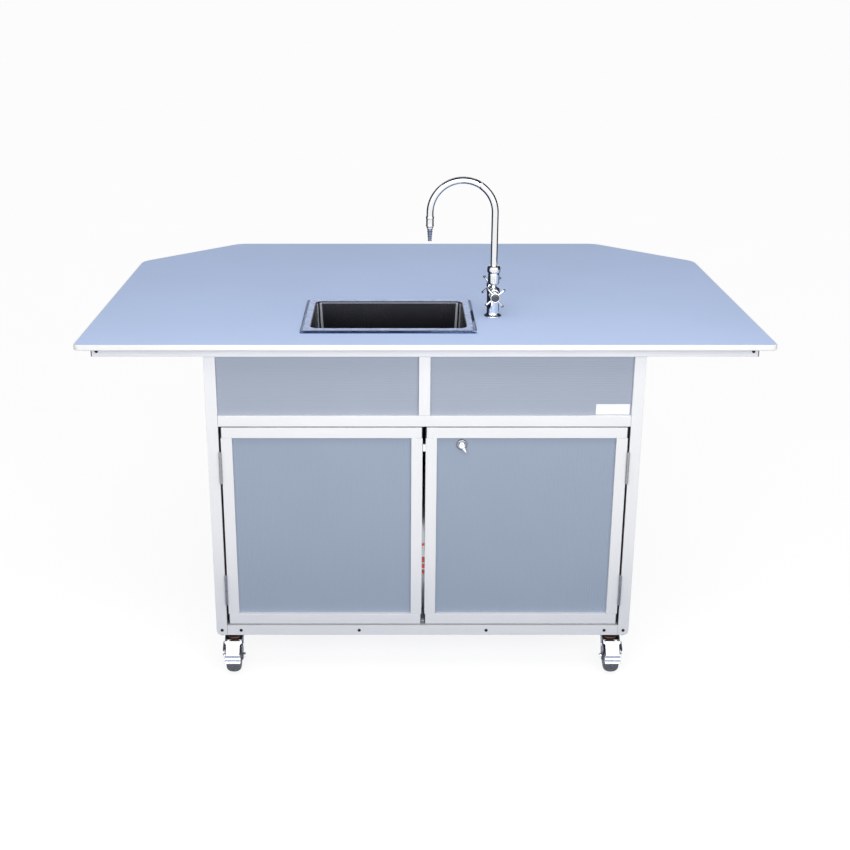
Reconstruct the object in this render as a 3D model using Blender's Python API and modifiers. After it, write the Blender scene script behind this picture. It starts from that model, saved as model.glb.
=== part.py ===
"""Portable sink: a clipped-corner worktop on a square-tube cabinet that rolls on four casters.

Units are metres, +Z is up, +X runs along the worktop and the doors face -Y.
The origin is on the floor, under the middle of the worktop.
"""

import math

import bmesh
import bpy
from mathutils import Matrix, Vector

# ------------------------------------------------------------------ driving dimensions
GAP = 0.0003                    # clearance where two pieces meet
INCH = 0.0254
TUBE = INCH                     # side of the square frame tube
TUBE_WALL = 0.0016

WORKTOP_WIDTH = 60 * INCH
WORKTOP_DEPTH = 1.085
WORKTOP_THICKNESS = 0.5 * INCH
WORKTOP_TOP = 32.5 * INCH
CORNER_CLIP = 0.241             # the rear corners are cut off at 45 degrees
CORNER_RADIUS = 0.016
CLIP_RADIUS = 0.060
EDGE_ROUND = 0.003

CABINET_WIDTH = 0.974
CABINET_DEPTH = 30 * INCH
FRONT_OVERHANG = 0.0405         # worktop in front of the cabinet
RAIL_END = 0.7327               # half length of the front and rear rails under the worktop
MID_RAIL_BOTTOM = 0.6249
BASE_BOTTOM = 4 * INCH
FOOT_ROUND = 0.011              # rounded outer corner at the foot of each post
FLOOR_THICKNESS = 0.006
PANEL_THICKNESS = 0.006
PANEL_RECESS = 0.0095           # panel face behind the face of its frame
CASTER_BEARER = 0.429           # middle of the bar that carries a caster's inner bolts
FLOOR_BEARER = 0.150

DOOR_BOTTOM = 0.1317
DOOR_TOP = 0.6228
DOOR_SIDE_GAP = 0.0048          # door to corner post
DOOR_CENTRE_GAP = 0.0070        # door to door
CAP_NOTCH = 0.002               # rails stop short by this much; a plastic cap closes them

HINGE_HEIGHTS = {"upper": 0.5269, "lower": 0.2208}
HINGE_LENGTH = 0.076
KNUCKLES = 5
KNUCKLE_RADIUS = 0.0034
PIN_RADIUS = 0.0015
PIN_PROUD = 0.0040              # hinge axis in front of the door's face
LEAF_THICKNESS = 0.0012
LEAF_DEPTH = 0.0235

LATCH_X = 0.085
LATCH_Z = 0.579
ROSE_RADIUS = 0.0125
LATCH_BODY_RADIUS = 0.0090
SPINDLE_RADIUS = 0.0040
LEVER_LENGTH = 0.023
LEVER_LEAN = math.radians(30)   # the lever hangs this far from straight down
CAM_LENGTH = 0.052
CAM_HALF_HEIGHT = 0.007
CAM_THICKNESS = 0.002
CAM_CLEARANCE = 0.001            # cam behind the door's frame
ROSE_PROUD = 0.0035              # latch rose in front of the panel
LATCH_BODY_DEPTH = 0.0145        # latch body behind the panel's face
BOSS_RADIUS = 0.0072
BOSS_PROUD = 0.010
BLADE_THICKNESS = 0.0036

SINK_X = -0.080
SINK_FRONT = 0.0928             # rim behind the worktop's front edge
RIM_WIDTH = 0.397
RIM_DEPTH = 0.304
RIM_RISE = 0.0052
RIM_BEVEL = 0.008
BOWL_WIDTH = 0.348
BOWL_FRONT_TO_BACK = 0.242
BOWL_DEPTH = 0.165
SHEET = 0.0012
DRAIN_RADIUS = 0.023

FAUCET_X = 0.162
COLUMN_RADIUS = 0.0145
SOCKET_RADIUS = 0.0083
VALVE_HEIGHT = 0.060
VALVE_RADIUS = 0.0105
HANDLE_OFFSET = 0.068           # face of a handle's hub from the faucet's axis
HUB_RADIUS = 0.012
HUB_LENGTH = 0.013
ARM_REACH = 0.029
ARM_RADIUS = 0.0028
ARM_ANGLE = math.radians(40)
SPOUT_RADIUS = 0.00795
SPOUT_WALL = 0.0011
SPOUT_BEND = 0.074
SPOUT_BEND_HEIGHT = 0.2418      # centre of the bend above the worktop
SPOUT_END_HEIGHT = 0.2165
NOZZLE_TIP_HEIGHT = 0.1777

TANK_WIDTH = 0.260
TANK_DEPTH = 0.400
TANK_HEIGHT = 0.245
TANK_ROUND = 0.030
TANK_WALL = 0.0025
NECK_RADIUS = 0.028
NECK_HEIGHT = 0.015
TANK_Y = -0.240
FRESH_TANK_X = 0.240
FRESH_NECK_Y = -0.140
TAIL_RADIUS = 0.016
PUMP_Y = 0.030
PIPE_RADIUS = 0.005
SUCTION_RADIUS = 0.006
HEATER_X = -0.330
HEATER_SIZE = (0.200, 0.250, 0.350)
HEATER_Y = -0.295

CASTER_X = 0.450
CASTER_INSET = 0.046            # swivel axis behind the cabinet's face
CASTER_LEAD = 0.030             # axle in front of the swivel axis
CASTER_PLATE = (0.064, 0.076, 0.003)
RACE_RADIUS = 0.0195
RACE_HEIGHT = 0.0103
CROWN_RADIUS = 0.0205
CROWN_BOTTOM = 0.0768
WHEEL_RADIUS = 0.038
WHEEL_WIDTH = 0.032
AXLE_RADIUS = 0.004
AXLE_END = 0.0285
LEG_INSIDE = 0.0185
LEG_THICKNESS = 0.0025
PEDAL_WIDTH = 0.0458
PEDAL_PIVOT = (0.034, 0.071)    # ahead of the swivel axis, and up
PEDAL_INSIDE = 0.0415           # the pedal is bent round the axle at this radius
PEDAL_THICKNESS = 0.0018

# ------------------------------------------------------------------ worked-out places
TOP_FRONT = -WORKTOP_DEPTH / 2
WORKTOP_BOTTOM = WORKTOP_TOP - WORKTOP_THICKNESS
RAILS_BOTTOM = WORKTOP_BOTTOM - TUBE
FRONT = TOP_FRONT + FRONT_OVERHANG
BACK = FRONT + CABINET_DEPTH
SIDE = CABINET_WIDTH / 2
POST_INNER = SIDE - TUBE
BASE_TOP = BASE_BOTTOM + TUBE
MID_RAIL_TOP = MID_RAIL_BOTTOM + TUBE
FLOOR_TOP = BASE_TOP + GAP + FLOOR_THICKNESS
PANEL_FRONT = FRONT + PANEL_RECESS
PANEL_BACK = PANEL_FRONT + PANEL_THICKNESS
DOOR_INNER_EDGE = DOOR_CENTRE_GAP / 2
DOOR_OUTER_EDGE = POST_INNER - DOOR_SIDE_GAP
HINGE_X = POST_INNER - DOOR_SIDE_GAP / 2
HINGE_Y = FRONT - PIN_PROUD
SINK_Y = TOP_FRONT + SINK_FRONT + RIM_DEPTH / 2
FAUCET_Y = SINK_Y
BOWL_BOTTOM = WORKTOP_TOP + RIM_RISE - BOWL_DEPTH
TANK_TOP = FLOOR_TOP + GAP + TANK_HEIGHT
CASTER_Y = {"front": FRONT + CASTER_INSET, "rear": BACK - CASTER_INSET}
CASTER_PAD = CASTER_INSET + CASTER_PLATE[1] / 2
PLATE_TOP = BASE_BOTTOM - GAP
PLATE_BOTTOM = PLATE_TOP - CASTER_PLATE[2]
RACE_BOTTOM = PLATE_BOTTOM - RACE_HEIGHT
CROWN_TOP = RACE_BOTTOM - GAP

LEFT = -1
RIGHT = 1
SIDES = {"left": LEFT, "right": RIGHT}

# ------------------------------------------------------------------ scene and helpers
for old in list(bpy.data.objects):
    bpy.data.objects.remove(old, do_unlink=True)


def new_collection(name):
    collection = bpy.data.collections.new(name)
    bpy.context.scene.collection.children.link(collection)
    return collection


PARTS = new_collection("portable_sink")
CUTTERS = new_collection("cutters")


def finish(name, colour, roughness, metallic=0.0):
    """A Principled material in one colour."""
    material = bpy.data.materials.new(name)
    material.use_nodes = True
    shader = material.node_tree.nodes["Principled BSDF"]
    shader.inputs["Base Color"].default_value = (*colour, 1.0)
    shader.inputs["Roughness"].default_value = roughness
    shader.inputs["Metallic"].default_value = metallic
    return material


LAMINATE = finish("laminate", (0.44, 0.53, 0.74), 0.35)
ALUMINIUM = finish("aluminium", (0.82, 0.82, 0.84), 0.35, 0.6)
TWIN_WALL = finish("twin_wall", (0.34, 0.39, 0.49), 0.40)
STAINLESS = finish("stainless", (0.55, 0.56, 0.58), 0.25, 1.0)
CHROME = finish("chrome", (0.80, 0.81, 0.83), 0.08, 1.0)
ZINC = finish("zinc", (0.62, 0.63, 0.66), 0.30, 1.0)
TANK_PLASTIC = finish("tank_plastic", (0.80, 0.82, 0.84), 0.45)
CAP_RED = finish("cap_red", (0.55, 0.06, 0.04), 0.40)
CAP_BLUE = finish("cap_blue", (0.05, 0.14, 0.45), 0.40)
DARK_PLASTIC = finish("dark_plastic", (0.04, 0.04, 0.045), 0.50)
WHITE_ENAMEL = finish("white_enamel", (0.82, 0.82, 0.80), 0.35)
RUBBER = finish("rubber", (0.16, 0.17, 0.18), 0.70)


def pivot(name, place):
    """An empty on a joint's axis."""
    empty = bpy.data.objects.new(name, None)
    empty.location = place
    empty.empty_display_size = 0.03
    PARTS.objects.link(empty)
    return empty


def attach(child, parent):
    """Parent a piece to an unrotated pivot and keep it where it is."""
    child.parent = parent
    child.matrix_parent_inverse = Matrix.Translation(-parent.location)


def add_mesh(name, mesh, material, place=(0, 0, 0), parent=None):
    mesh.materials.clear()
    mesh.materials.append(material)
    piece = bpy.data.objects.new(name, mesh)
    piece.location = place
    PARTS.objects.link(piece)
    if parent:
        attach(piece, parent)
    return piece


def add_bmesh(name, shape, material, place=(0, 0, 0), parent=None):
    mesh = bpy.data.meshes.new(name)
    shape.to_mesh(mesh)
    shape.free()
    return add_mesh(name, mesh, material, place, parent)


def as_tool(piece):
    """Make a piece a cutter or a joining shape: it is not part of the model itself."""
    PARTS.objects.unlink(piece)
    CUTTERS.objects.link(piece)
    piece.hide_render = True
    piece.display_type = "WIRE"
    return piece


def combine(target, tool, operation):
    modifier = target.modifiers.new(operation.lower(), "BOOLEAN")
    modifier.operation = operation
    modifier.solver = "EXACT"
    modifier.object = as_tool(tool)


def cut(target, tool):
    combine(target, tool, "DIFFERENCE")


def join(target, tool):
    combine(target, tool, "UNION")


def soften(piece, width, segments=2):
    """Round the edges that turn by more than 40 degrees."""
    modifier = piece.modifiers.new("round", "BEVEL")
    modifier.width = width
    modifier.segments = segments
    modifier.limit_method = "ANGLE"
    modifier.angle_limit = math.radians(40)


def box(name, low, high, material, parent=None):
    """A box between two opposite corners, with its origin in its middle."""
    low, high = Vector(low), Vector(high)
    shape = bmesh.new()
    bmesh.ops.create_cube(shape, size=1.0)
    bmesh.ops.scale(shape, vec=high - low, verts=shape.verts)
    return add_bmesh(name, shape, material, (low + high) / 2, parent)


def square_tube(name, low, high, material):
    """A square tube along the longest side of the box between two corners, open at both ends."""
    piece = box(name, low, high, material)
    size = Vector(high) - Vector(low)
    long_axis = max(range(3), key=lambda axis: size[axis])
    shape = bmesh.new()
    shape.from_mesh(piece.data)
    ends = [face for face in shape.faces if abs(face.normal[long_axis]) > 0.9]
    bmesh.ops.delete(shape, geom=ends, context="FACES")
    shape.to_mesh(piece.data)
    shape.free()
    thicken(piece, TUBE_WALL, -1)
    return piece


def thicken(piece, thickness, side):
    """Give an open surface its wall: side is -1 behind its faces and 1 in front."""
    modifier = piece.modifiers.new("wall", "SOLIDIFY")
    modifier.thickness = thickness
    modifier.offset = side
    modifier.use_even_offset = True


def cylinder(name, radius, low, high, axis, material, parent=None, segments=24):
    """A cylinder between two points along axis 0, 1 or 2; both points are (x, y, z)."""
    low, high = Vector(low), Vector(high)
    shape = bmesh.new()
    bmesh.ops.create_cone(shape, cap_ends=True, segments=segments, radius1=radius, radius2=radius,
                          depth=(high - low)[axis])
    bmesh.ops.rotate(shape, verts=shape.verts, matrix=Matrix.Rotation(math.pi / segments, 3, "Z"))
    if axis == 0:
        bmesh.ops.rotate(shape, verts=shape.verts, matrix=Matrix.Rotation(math.pi / 2, 3, "Y"))
    if axis == 1:
        bmesh.ops.rotate(shape, verts=shape.verts, matrix=Matrix.Rotation(math.pi / 2, 3, "X"))
    return add_bmesh(name, shape, material, (low + high) / 2, parent)


def turned(name, profile, place, material, segments=24, closed=False, parent=None, start=0.0):
    """A turned piece: (radius, height) points that run down its outer side, about its own Z."""
    mesh = bpy.data.meshes.new(name)
    edges = [(i, i + 1) for i in range(len(profile) - 1)]
    if closed:
        edges.append((len(profile) - 1, 0))
    points = [(radius * math.cos(start), radius * math.sin(start), height) for radius, height in profile]
    mesh.from_pydata(points, edges, [])
    piece = add_mesh(name, mesh, material, place, parent)
    screw = piece.modifiers.new("turn", "SCREW")
    screw.angle = math.tau
    screw.steps = segments
    screw.render_steps = segments
    screw.use_merge_vertices = True
    screw.merge_threshold = 0.00001
    return piece


def mesh_of_curve(holder):
    """The closed mesh of a curve object, with its loose caps welded on."""
    bpy.context.view_layer.update()
    graph = bpy.context.evaluated_depsgraph_get()
    mesh = bpy.data.meshes.new_from_object(holder.evaluated_get(graph))
    shape = bmesh.new()
    shape.from_mesh(mesh)
    bmesh.ops.remove_doubles(shape, verts=shape.verts, dist=0.00001)
    shape.to_mesh(mesh)
    shape.free()
    bpy.data.objects.remove(holder, do_unlink=True)
    return mesh


def flat_piece(name, outlines, thickness, material, place=(0, 0, 0), turn=None, parent=None):
    """A flat plate from closed outlines of (x, y) points: the first is its edge, the others holes."""
    curve = bpy.data.curves.new(name, "CURVE")
    curve.dimensions = "2D"
    curve.fill_mode = "BOTH"
    curve.extrude = thickness / 2
    for outline in outlines:
        spline = curve.splines.new("POLY")
        spline.points.add(len(outline) - 1)
        spline.use_cyclic_u = True
        for point, (x, y) in zip(spline.points, outline):
            point.co = (x, y, 0.0, 1.0)
    holder = bpy.data.objects.new(name, curve)
    PARTS.objects.link(holder)
    mesh = mesh_of_curve(holder)
    if turn:
        mesh.transform(turn)
    return add_mesh(name, mesh, material, place, parent)


def tube_along(name, points, radius, material, wall=0.0, sides_setting=4, parent=None):
    """A round tube along a run of points: solid, or hollow with open ends if it has a wall."""
    curve = bpy.data.curves.new(name, "CURVE")
    curve.dimensions = "3D"
    curve.bevel_depth = radius
    curve.bevel_resolution = sides_setting
    curve.use_fill_caps = wall == 0.0
    spline = curve.splines.new("POLY")
    spline.points.add(len(points) - 1)
    for point, place in zip(spline.points, points):
        point.co = (*place, 1.0)
    holder = bpy.data.objects.new(name, curve)
    PARTS.objects.link(holder)
    piece = add_mesh(name, mesh_of_curve(holder), material, (0, 0, 0), parent)
    if wall:
        thicken(piece, wall, -1)
    return piece


def rectangle(left, right, low, high):
    return [(left, low), (right, low), (right, high), (left, high)]


def arc(centre, radius, start, end, steps):
    """Points on an arc in a plane, from one angle to another."""
    points = []
    for step in range(steps + 1):
        angle = start + (end - start) * step / steps
        points.append((centre[0] + radius * math.cos(angle), centre[1] + radius * math.sin(angle)))
    return points


def ring(width, depth, radius, z, centre, steps=5):
    """A level rounded rectangle, anticlockwise from above, for a loft."""
    points = []
    for quarter, (sx, sy) in enumerate(((1, 1), (-1, 1), (-1, -1), (1, -1))):
        corner = (centre[0] + sx * (width / 2 - radius), centre[1] + sy * (depth / 2 - radius))
        start = quarter * math.pi / 2
        points += [(x, y, z) for x, y in arc(corner, radius, start, start + math.pi / 2, steps)]
    return points


def round_ring(radius, z, centre):
    """A level circle with as many points as a rounded rectangle has."""
    flat = radius * 0.12
    return ring(2 * radius, 2 * radius, radius - flat / 2, z, centre)


def loft(name, rings, closed_below, material):
    """An open skin over level rings, from the highest down the outer side."""
    shape = bmesh.new()
    loops = [[shape.verts.new(point) for point in points] for points in rings]
    for upper, lower in zip(loops, loops[1:]):
        for i in range(len(upper)):
            j = (i + 1) % len(upper)
            shape.faces.new((upper[i], lower[i], lower[j], upper[j]))
    if closed_below:
        shape.faces.new(list(reversed(loops[-1])))
    return add_bmesh(name, shape, material)


def filleted(corners, radius, steps=5):
    """A run of 3-D points through corners, with each inner corner rounded."""
    corners = [Vector(corner) for corner in corners]
    points = [corners[0]]
    for before, corner, after in zip(corners, corners[1:], corners[2:]):
        into = (before - corner).normalized()
        out = (after - corner).normalized()
        half_turn = into.angle(out) / 2
        middle = corner + (into + out).normalized() * radius / math.sin(half_turn)
        start = corner + into * radius / math.tan(half_turn) - middle
        end = corner + out * radius / math.tan(half_turn) - middle
        for step in range(steps + 1):
            points.append(middle + radius * start.slerp(end, step / steps))
    points.append(corners[-1])
    return points


# ------------------------------------------------------------------ worktop
def worktop_outline():
    """Two small front corners, then the clipped rear ones, anticlockwise from above."""
    half, front, back = WORKTOP_WIDTH / 2, -WORKTOP_DEPTH / 2, WORKTOP_DEPTH / 2
    corners = [
        ((half - CORNER_RADIUS, front + CORNER_RADIUS), CORNER_RADIUS, -90, 0),
        ((half, back - CORNER_CLIP), CLIP_RADIUS, 0, 45),
        ((half - CORNER_CLIP, back), CLIP_RADIUS, 45, 90),
    ]
    right_side = []
    for place, radius, start, end in corners:
        start, end = math.radians(start), math.radians(end)
        if end - start < math.pi / 3:
            # the arc that touches both edges of a 135 degree corner
            middle_angle = (start + end) / 2
            reach = radius / math.cos((end - start) / 2)
            place = (place[0] - reach * math.cos(middle_angle), place[1] - reach * math.sin(middle_angle))
        right_side += arc(place, radius, start, end, 4)
    return right_side + [(-x, y) for x, y in reversed(right_side)]


def build_worktop():
    middle = (WORKTOP_TOP + WORKTOP_BOTTOM) / 2
    worktop = flat_piece("worktop", [worktop_outline()], WORKTOP_THICKNESS, LAMINATE, (0, 0, middle))
    soften(worktop, EDGE_ROUND, 2)
    hole_x, hole_y = BOWL_WIDTH / 2 + 0.010, BOWL_FRONT_TO_BACK / 2 + 0.010
    cut(worktop, box("sink_cutout", (SINK_X - hole_x, SINK_Y - hole_y, WORKTOP_BOTTOM - 0.01),
                     (SINK_X + hole_x, SINK_Y + hole_y, WORKTOP_TOP + 0.01), LAMINATE))
    cut(worktop, cylinder("faucet_hole", 0.0125, (FAUCET_X, FAUCET_Y, WORKTOP_BOTTOM - 0.01),
                          (FAUCET_X, FAUCET_Y, WORKTOP_TOP + 0.01), 2, LAMINATE, segments=16))


# ------------------------------------------------------------------ cabinet frame
def bay(left, right, inset=TUBE):
    return rectangle(left, right, FRONT + inset, BACK - inset)


def frame_of_bars(name, outline, bays, low, high):
    """Crossing bars of tube height, as one plate with the bays between the bars cut out."""
    return flat_piece(name, [outline, *bays], high - low, ALUMINIUM, (0, 0, (low + high) / 2))


def base_outline():
    """The cabinet's footprint with a square notch round each corner post."""
    notch = TUBE + GAP
    corner = [(SIDE - notch, FRONT), (SIDE - notch, FRONT + notch), (SIDE, FRONT + notch)]
    corner += [(x, FRONT + BACK - y) for x, y in reversed(corner)]
    return corner + [(-x, y) for x, y in reversed(corner)]


def round_foot(post, side, y):
    """Cut the outer lower corner of a post to a quarter round."""
    margin = 0.002
    centre = (SIDE - FOOT_ROUND, BASE_BOTTOM + FOOT_ROUND)
    waste = [(SIDE - FOOT_ROUND, BASE_BOTTOM - margin), (SIDE + margin, BASE_BOTTOM - margin),
             (SIDE + margin, BASE_BOTTOM + FOOT_ROUND)]
    waste += arc(centre, FOOT_ROUND, 0.0, -math.pi / 2, 5)
    waste = [(side * x, z) for x, z in waste]
    cut(post, flat_piece("foot_waste", [waste], TUBE + 2 * margin, ALUMINIUM, (0, y + TUBE / 2, 0),
                         Matrix.Rotation(math.pi / 2, 4, "X")))


def build_frame():
    wing = RAIL_END - TUBE
    frame_of_bars("counter_frame", rectangle(-RAIL_END, RAIL_END, FRONT, BACK),
                  [bay(-wing, -SIDE), bay(-POST_INNER, POST_INNER), bay(SIDE, wing)],
                  RAILS_BOTTOM, WORKTOP_BOTTOM - GAP)
    inner, outer = FLOOR_BEARER + TUBE / 2, CASTER_BEARER - TUBE / 2
    slot = (CASTER_BEARER + TUBE / 2, POST_INNER, CASTER_PAD)
    frame_of_bars("base_frame", base_outline(),
                  [bay(-slot[1], -slot[0], slot[2]), bay(-outer, -inner), bay(TUBE - inner, inner - TUBE),
                   bay(inner, outer), bay(*slot)], BASE_BOTTOM, BASE_TOP)
    for side_name, side in SIDES.items():
        for end_name, y in (("front", FRONT), ("rear", BACK - TUBE)):
            inner, outer = sorted((side * POST_INNER, side * SIDE))
            post = square_tube(f"corner_post_{end_name}_{side_name}", (inner, y, BASE_BOTTOM),
                               (outer, y + TUBE, RAILS_BOTTOM - GAP), ALUMINIUM)
            round_foot(post, side, y)
    square_tube("mid_rail", (-POST_INNER + GAP, FRONT, MID_RAIL_BOTTOM),
                (POST_INNER - GAP, FRONT + TUBE, MID_RAIL_TOP), ALUMINIUM)
    square_tube("mid_post", (-TUBE / 2, FRONT, MID_RAIL_TOP + GAP),
                (TUBE / 2, FRONT + TUBE, RAILS_BOTTOM - GAP), ALUMINIUM)


def build_panels():
    low, high = BASE_TOP + GAP, RAILS_BOTTOM - GAP
    for side_name, side in SIDES.items():
        inner, outer = sorted((side * (TUBE / 2 + GAP), side * (POST_INNER - GAP)))
        box(f"upper_panel_{side_name}", (inner, PANEL_FRONT, MID_RAIL_TOP + GAP),
            (outer, PANEL_BACK, high), TWIN_WALL)
        face = side * (SIDE - PANEL_RECESS)
        inner, outer = sorted((face - side * PANEL_THICKNESS, face))
        box(f"side_panel_{side_name}", (inner, FRONT + TUBE + GAP, low),
            (outer, BACK - TUBE - GAP, high), TWIN_WALL)
    face = BACK - PANEL_RECESS
    box("rear_panel", (-POST_INNER + GAP, face - PANEL_THICKNESS, low),
        (POST_INNER - GAP, face, high), TWIN_WALL)
    floor_edge = min(SIDE - PANEL_RECESS - PANEL_THICKNESS, POST_INNER) - GAP
    box("floor_panel", (-floor_edge, FRONT + TUBE + GAP, BASE_TOP + GAP),
        (floor_edge, face - PANEL_THICKNESS - GAP, FLOOR_TOP), TWIN_WALL)


# ------------------------------------------------------------------ doors and hinges
def build_door(side_name, side, hinge):
    edges = sorted((side * DOOR_INNER_EDGE, side * DOOR_OUTER_EDGE))
    upright = Matrix.Rotation(math.pi / 2, 4, "X")
    left, right = edges
    outline = []
    for x, y, dx, dy in ((left, DOOR_BOTTOM, 1, 1), (right, DOOR_BOTTOM, -1, 1),
                         (right, DOOR_TOP, -1, -1), (left, DOOR_TOP, 1, -1)):
        notch = [(x, y + dy * TUBE), (x + dx * CAP_NOTCH, y + dy * TUBE), (x + dx * CAP_NOTCH, y)]
        outline += notch if dx == dy else list(reversed(notch))
    opening = (left + TUBE, right - TUBE, DOOR_BOTTOM + TUBE, DOOR_TOP - TUBE)
    flat_piece(f"door_{side_name}_frame", [outline, rectangle(*opening)], TUBE, ALUMINIUM,
               (0, FRONT + TUBE / 2, 0), upright, hinge)
    return box(f"door_{side_name}_panel", (opening[0] + GAP, PANEL_FRONT, opening[2] + GAP),
               (opening[1] - GAP, PANEL_BACK, opening[3] - GAP), TWIN_WALL, hinge)


def build_leaf(name, side, height, on_post, parent):
    """One leaf of a butt hinge: a plate in the gap, and the knuckles that belong to it."""
    out = side if on_post else -side
    x_face = side * HINGE_X + out * (DOOR_SIDE_GAP / 2 - GAP)
    near, far = sorted((x_face, x_face - out * LEAF_THICKNESS))
    low, high = height - HINGE_LENGTH / 2, height + HINGE_LENGTH / 2
    leaf = box(name, (near, FRONT + 0.0005, low), (far, FRONT + LEAF_DEPTH, high), ZINC, parent)
    pitch = HINGE_LENGTH / KNUCKLES
    for number in range(KNUCKLES):
        if (number % 2 == 0) != on_post:
            continue
        bottom = low + number * pitch + GAP / 2
        top = bottom + pitch - GAP
        join(leaf, box(f"{name}_web_{number}", (near, HINGE_Y + 0.0020, bottom),
                       (far, FRONT + 0.0010, top), ZINC, parent))
        join(leaf, cylinder(f"{name}_knuckle_{number}", KNUCKLE_RADIUS, (side * HINGE_X, HINGE_Y, bottom),
                            (side * HINGE_X, HINGE_Y, top), 2, ZINC, parent, 12))
    pin_radius = PIN_RADIUS if on_post else PIN_RADIUS + GAP
    pin_length = 0.0 if on_post else GAP
    pin = cylinder(f"{name}_pin", pin_radius, (side * HINGE_X, HINGE_Y, low + GAP - pin_length),
                   (side * HINGE_X, HINGE_Y, high - GAP + pin_length), 2, ZINC, parent, 8)
    if on_post:
        join(leaf, pin)
    else:
        cut(leaf, pin)


def build_doors():
    hinges = {}
    for side_name, side in SIDES.items():
        hinge = pivot(f"door_{side_name}_hinge", (side * HINGE_X, HINGE_Y, 0))
        hinges[side_name] = hinge
        panel = build_door(side_name, side, hinge)
        for level, height in HINGE_HEIGHTS.items():
            build_leaf(f"hinge_{level}_{side_name}_post_leaf", side, height, True, None)
            build_leaf(f"hinge_{level}_{side_name}_door_leaf", side, height, False, hinge)
        if side_name == "right":
            cut(panel, cylinder("latch_hole", LATCH_BODY_RADIUS + GAP, (LATCH_X, PANEL_FRONT - 0.005, LATCH_Z),
                                (LATCH_X, PANEL_BACK + 0.005, LATCH_Z), 1, TWIN_WALL, hinge, 24))
    build_latch(hinges["right"])


def build_latch(hinge):
    """A quarter-turn latch: a fixed body through the panel, and a lever that carries a cam."""
    face = PANEL_FRONT - GAP
    along_y = (math.pi / 2, 0, 0)
    bore = SPINDLE_RADIUS + GAP
    body = turned("latch_body", [(ROSE_RADIUS - 0.0015, ROSE_PROUD), (ROSE_RADIUS, 0.0020), (ROSE_RADIUS, 0.0),
                                 (LATCH_BODY_RADIUS, 0.0), (LATCH_BODY_RADIUS, -LATCH_BODY_DEPTH),
                                 (bore, -LATCH_BODY_DEPTH), (bore, ROSE_PROUD)],
                  (LATCH_X, face, LATCH_Z), CHROME, 24, True, hinge)
    body.rotation_euler = along_y
    spindle = pivot("latch_spindle_axis", (LATCH_X, face, LATCH_Z))
    attach(spindle, hinge)
    cam_front = FRONT + TUBE + CAM_CLEARANCE
    spindle_depth = face - (cam_front + CAM_THICKNESS + 0.0005)
    boss_low = SPINDLE_RADIUS
    lever = turned("latch_lever", [(0.0, BOSS_PROUD), (BOSS_RADIUS - 0.0022, BOSS_PROUD),
                                   (BOSS_RADIUS, BOSS_PROUD - 0.0015), (BOSS_RADIUS, boss_low),
                                   (SPINDLE_RADIUS, boss_low), (SPINDLE_RADIUS, spindle_depth),
                                   (0.0, spindle_depth)], (LATCH_X, face, LATCH_Z), CHROME, 16)
    lever.rotation_euler = along_y
    attach(lever, spindle)
    hanging = Matrix.Rotation(-LEVER_LEAN, 4, "Y") @ Matrix.Rotation(math.pi / 2, 4, "X")
    blade = flat_piece("latch_blade", [[(-0.0042, 0.0), (-0.0030, -LEVER_LENGTH), (0.0, -LEVER_LENGTH - 0.0015),
                                        (0.0030, -LEVER_LENGTH), (0.0042, 0.0)]], BLADE_THICKNESS, CHROME,
                       (LATCH_X, face - 0.0060, LATCH_Z), hanging)
    join(lever, blade)
    cam = box("latch_cam", (LATCH_X - CAM_LENGTH, cam_front, LATCH_Z - CAM_HALF_HEIGHT),
              (LATCH_X + CAM_HALF_HEIGHT, cam_front + CAM_THICKNESS, LATCH_Z + CAM_HALF_HEIGHT), CHROME)
    join(lever, cam)


# ------------------------------------------------------------------ sink and waste
def build_sink():
    centre = (SINK_X, SINK_Y)
    top = WORKTOP_TOP + RIM_RISE
    rings = [
        ring(RIM_WIDTH, RIM_DEPTH, 0.009, WORKTOP_TOP + 0.0022, centre),
        ring(RIM_WIDTH - 2 * RIM_BEVEL, RIM_DEPTH - 2 * RIM_BEVEL, 0.005, top, centre),
        ring(BOWL_WIDTH + 0.006, BOWL_FRONT_TO_BACK + 0.006, 0.019, top, centre),
        ring(BOWL_WIDTH, BOWL_FRONT_TO_BACK, 0.017, top - 0.004, centre),
        ring(BOWL_WIDTH - 0.012, BOWL_FRONT_TO_BACK - 0.012, 0.022, BOWL_BOTTOM + 0.020, centre),
        ring(BOWL_WIDTH - 0.024, BOWL_FRONT_TO_BACK - 0.024, 0.026, BOWL_BOTTOM + 0.006, centre),
        ring(BOWL_WIDTH - 0.052, BOWL_FRONT_TO_BACK - 0.052, 0.030, BOWL_BOTTOM + 0.001, centre),
        round_ring(DRAIN_RADIUS + 0.014, BOWL_BOTTOM - 0.001, centre),
        round_ring(DRAIN_RADIUS, BOWL_BOTTOM - 0.001, centre),
    ]
    basin = loft("sink_basin", rings, False, STAINLESS)
    thicken(basin, SHEET, 1)

    flange = BOWL_BOTTOM - 0.001 + GAP
    neck = DRAIN_RADIUS - 0.0015
    tail_end = TANK_TOP - 0.012
    turned("sink_drain", [(DRAIN_RADIUS + 0.011, flange + 0.0018), (DRAIN_RADIUS + 0.012, flange),
                          (neck, flange), (neck, flange - 0.030), (TAIL_RADIUS, flange - 0.034),
                          (TAIL_RADIUS, tail_end), (TAIL_RADIUS - 0.002, tail_end),
                          (TAIL_RADIUS - 0.002, flange - 0.034), (neck - 0.003, flange - 0.028),
                          (neck - 0.003, flange + 0.0005)],
           (SINK_X, SINK_Y, 0), CHROME, 20, True)


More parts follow.
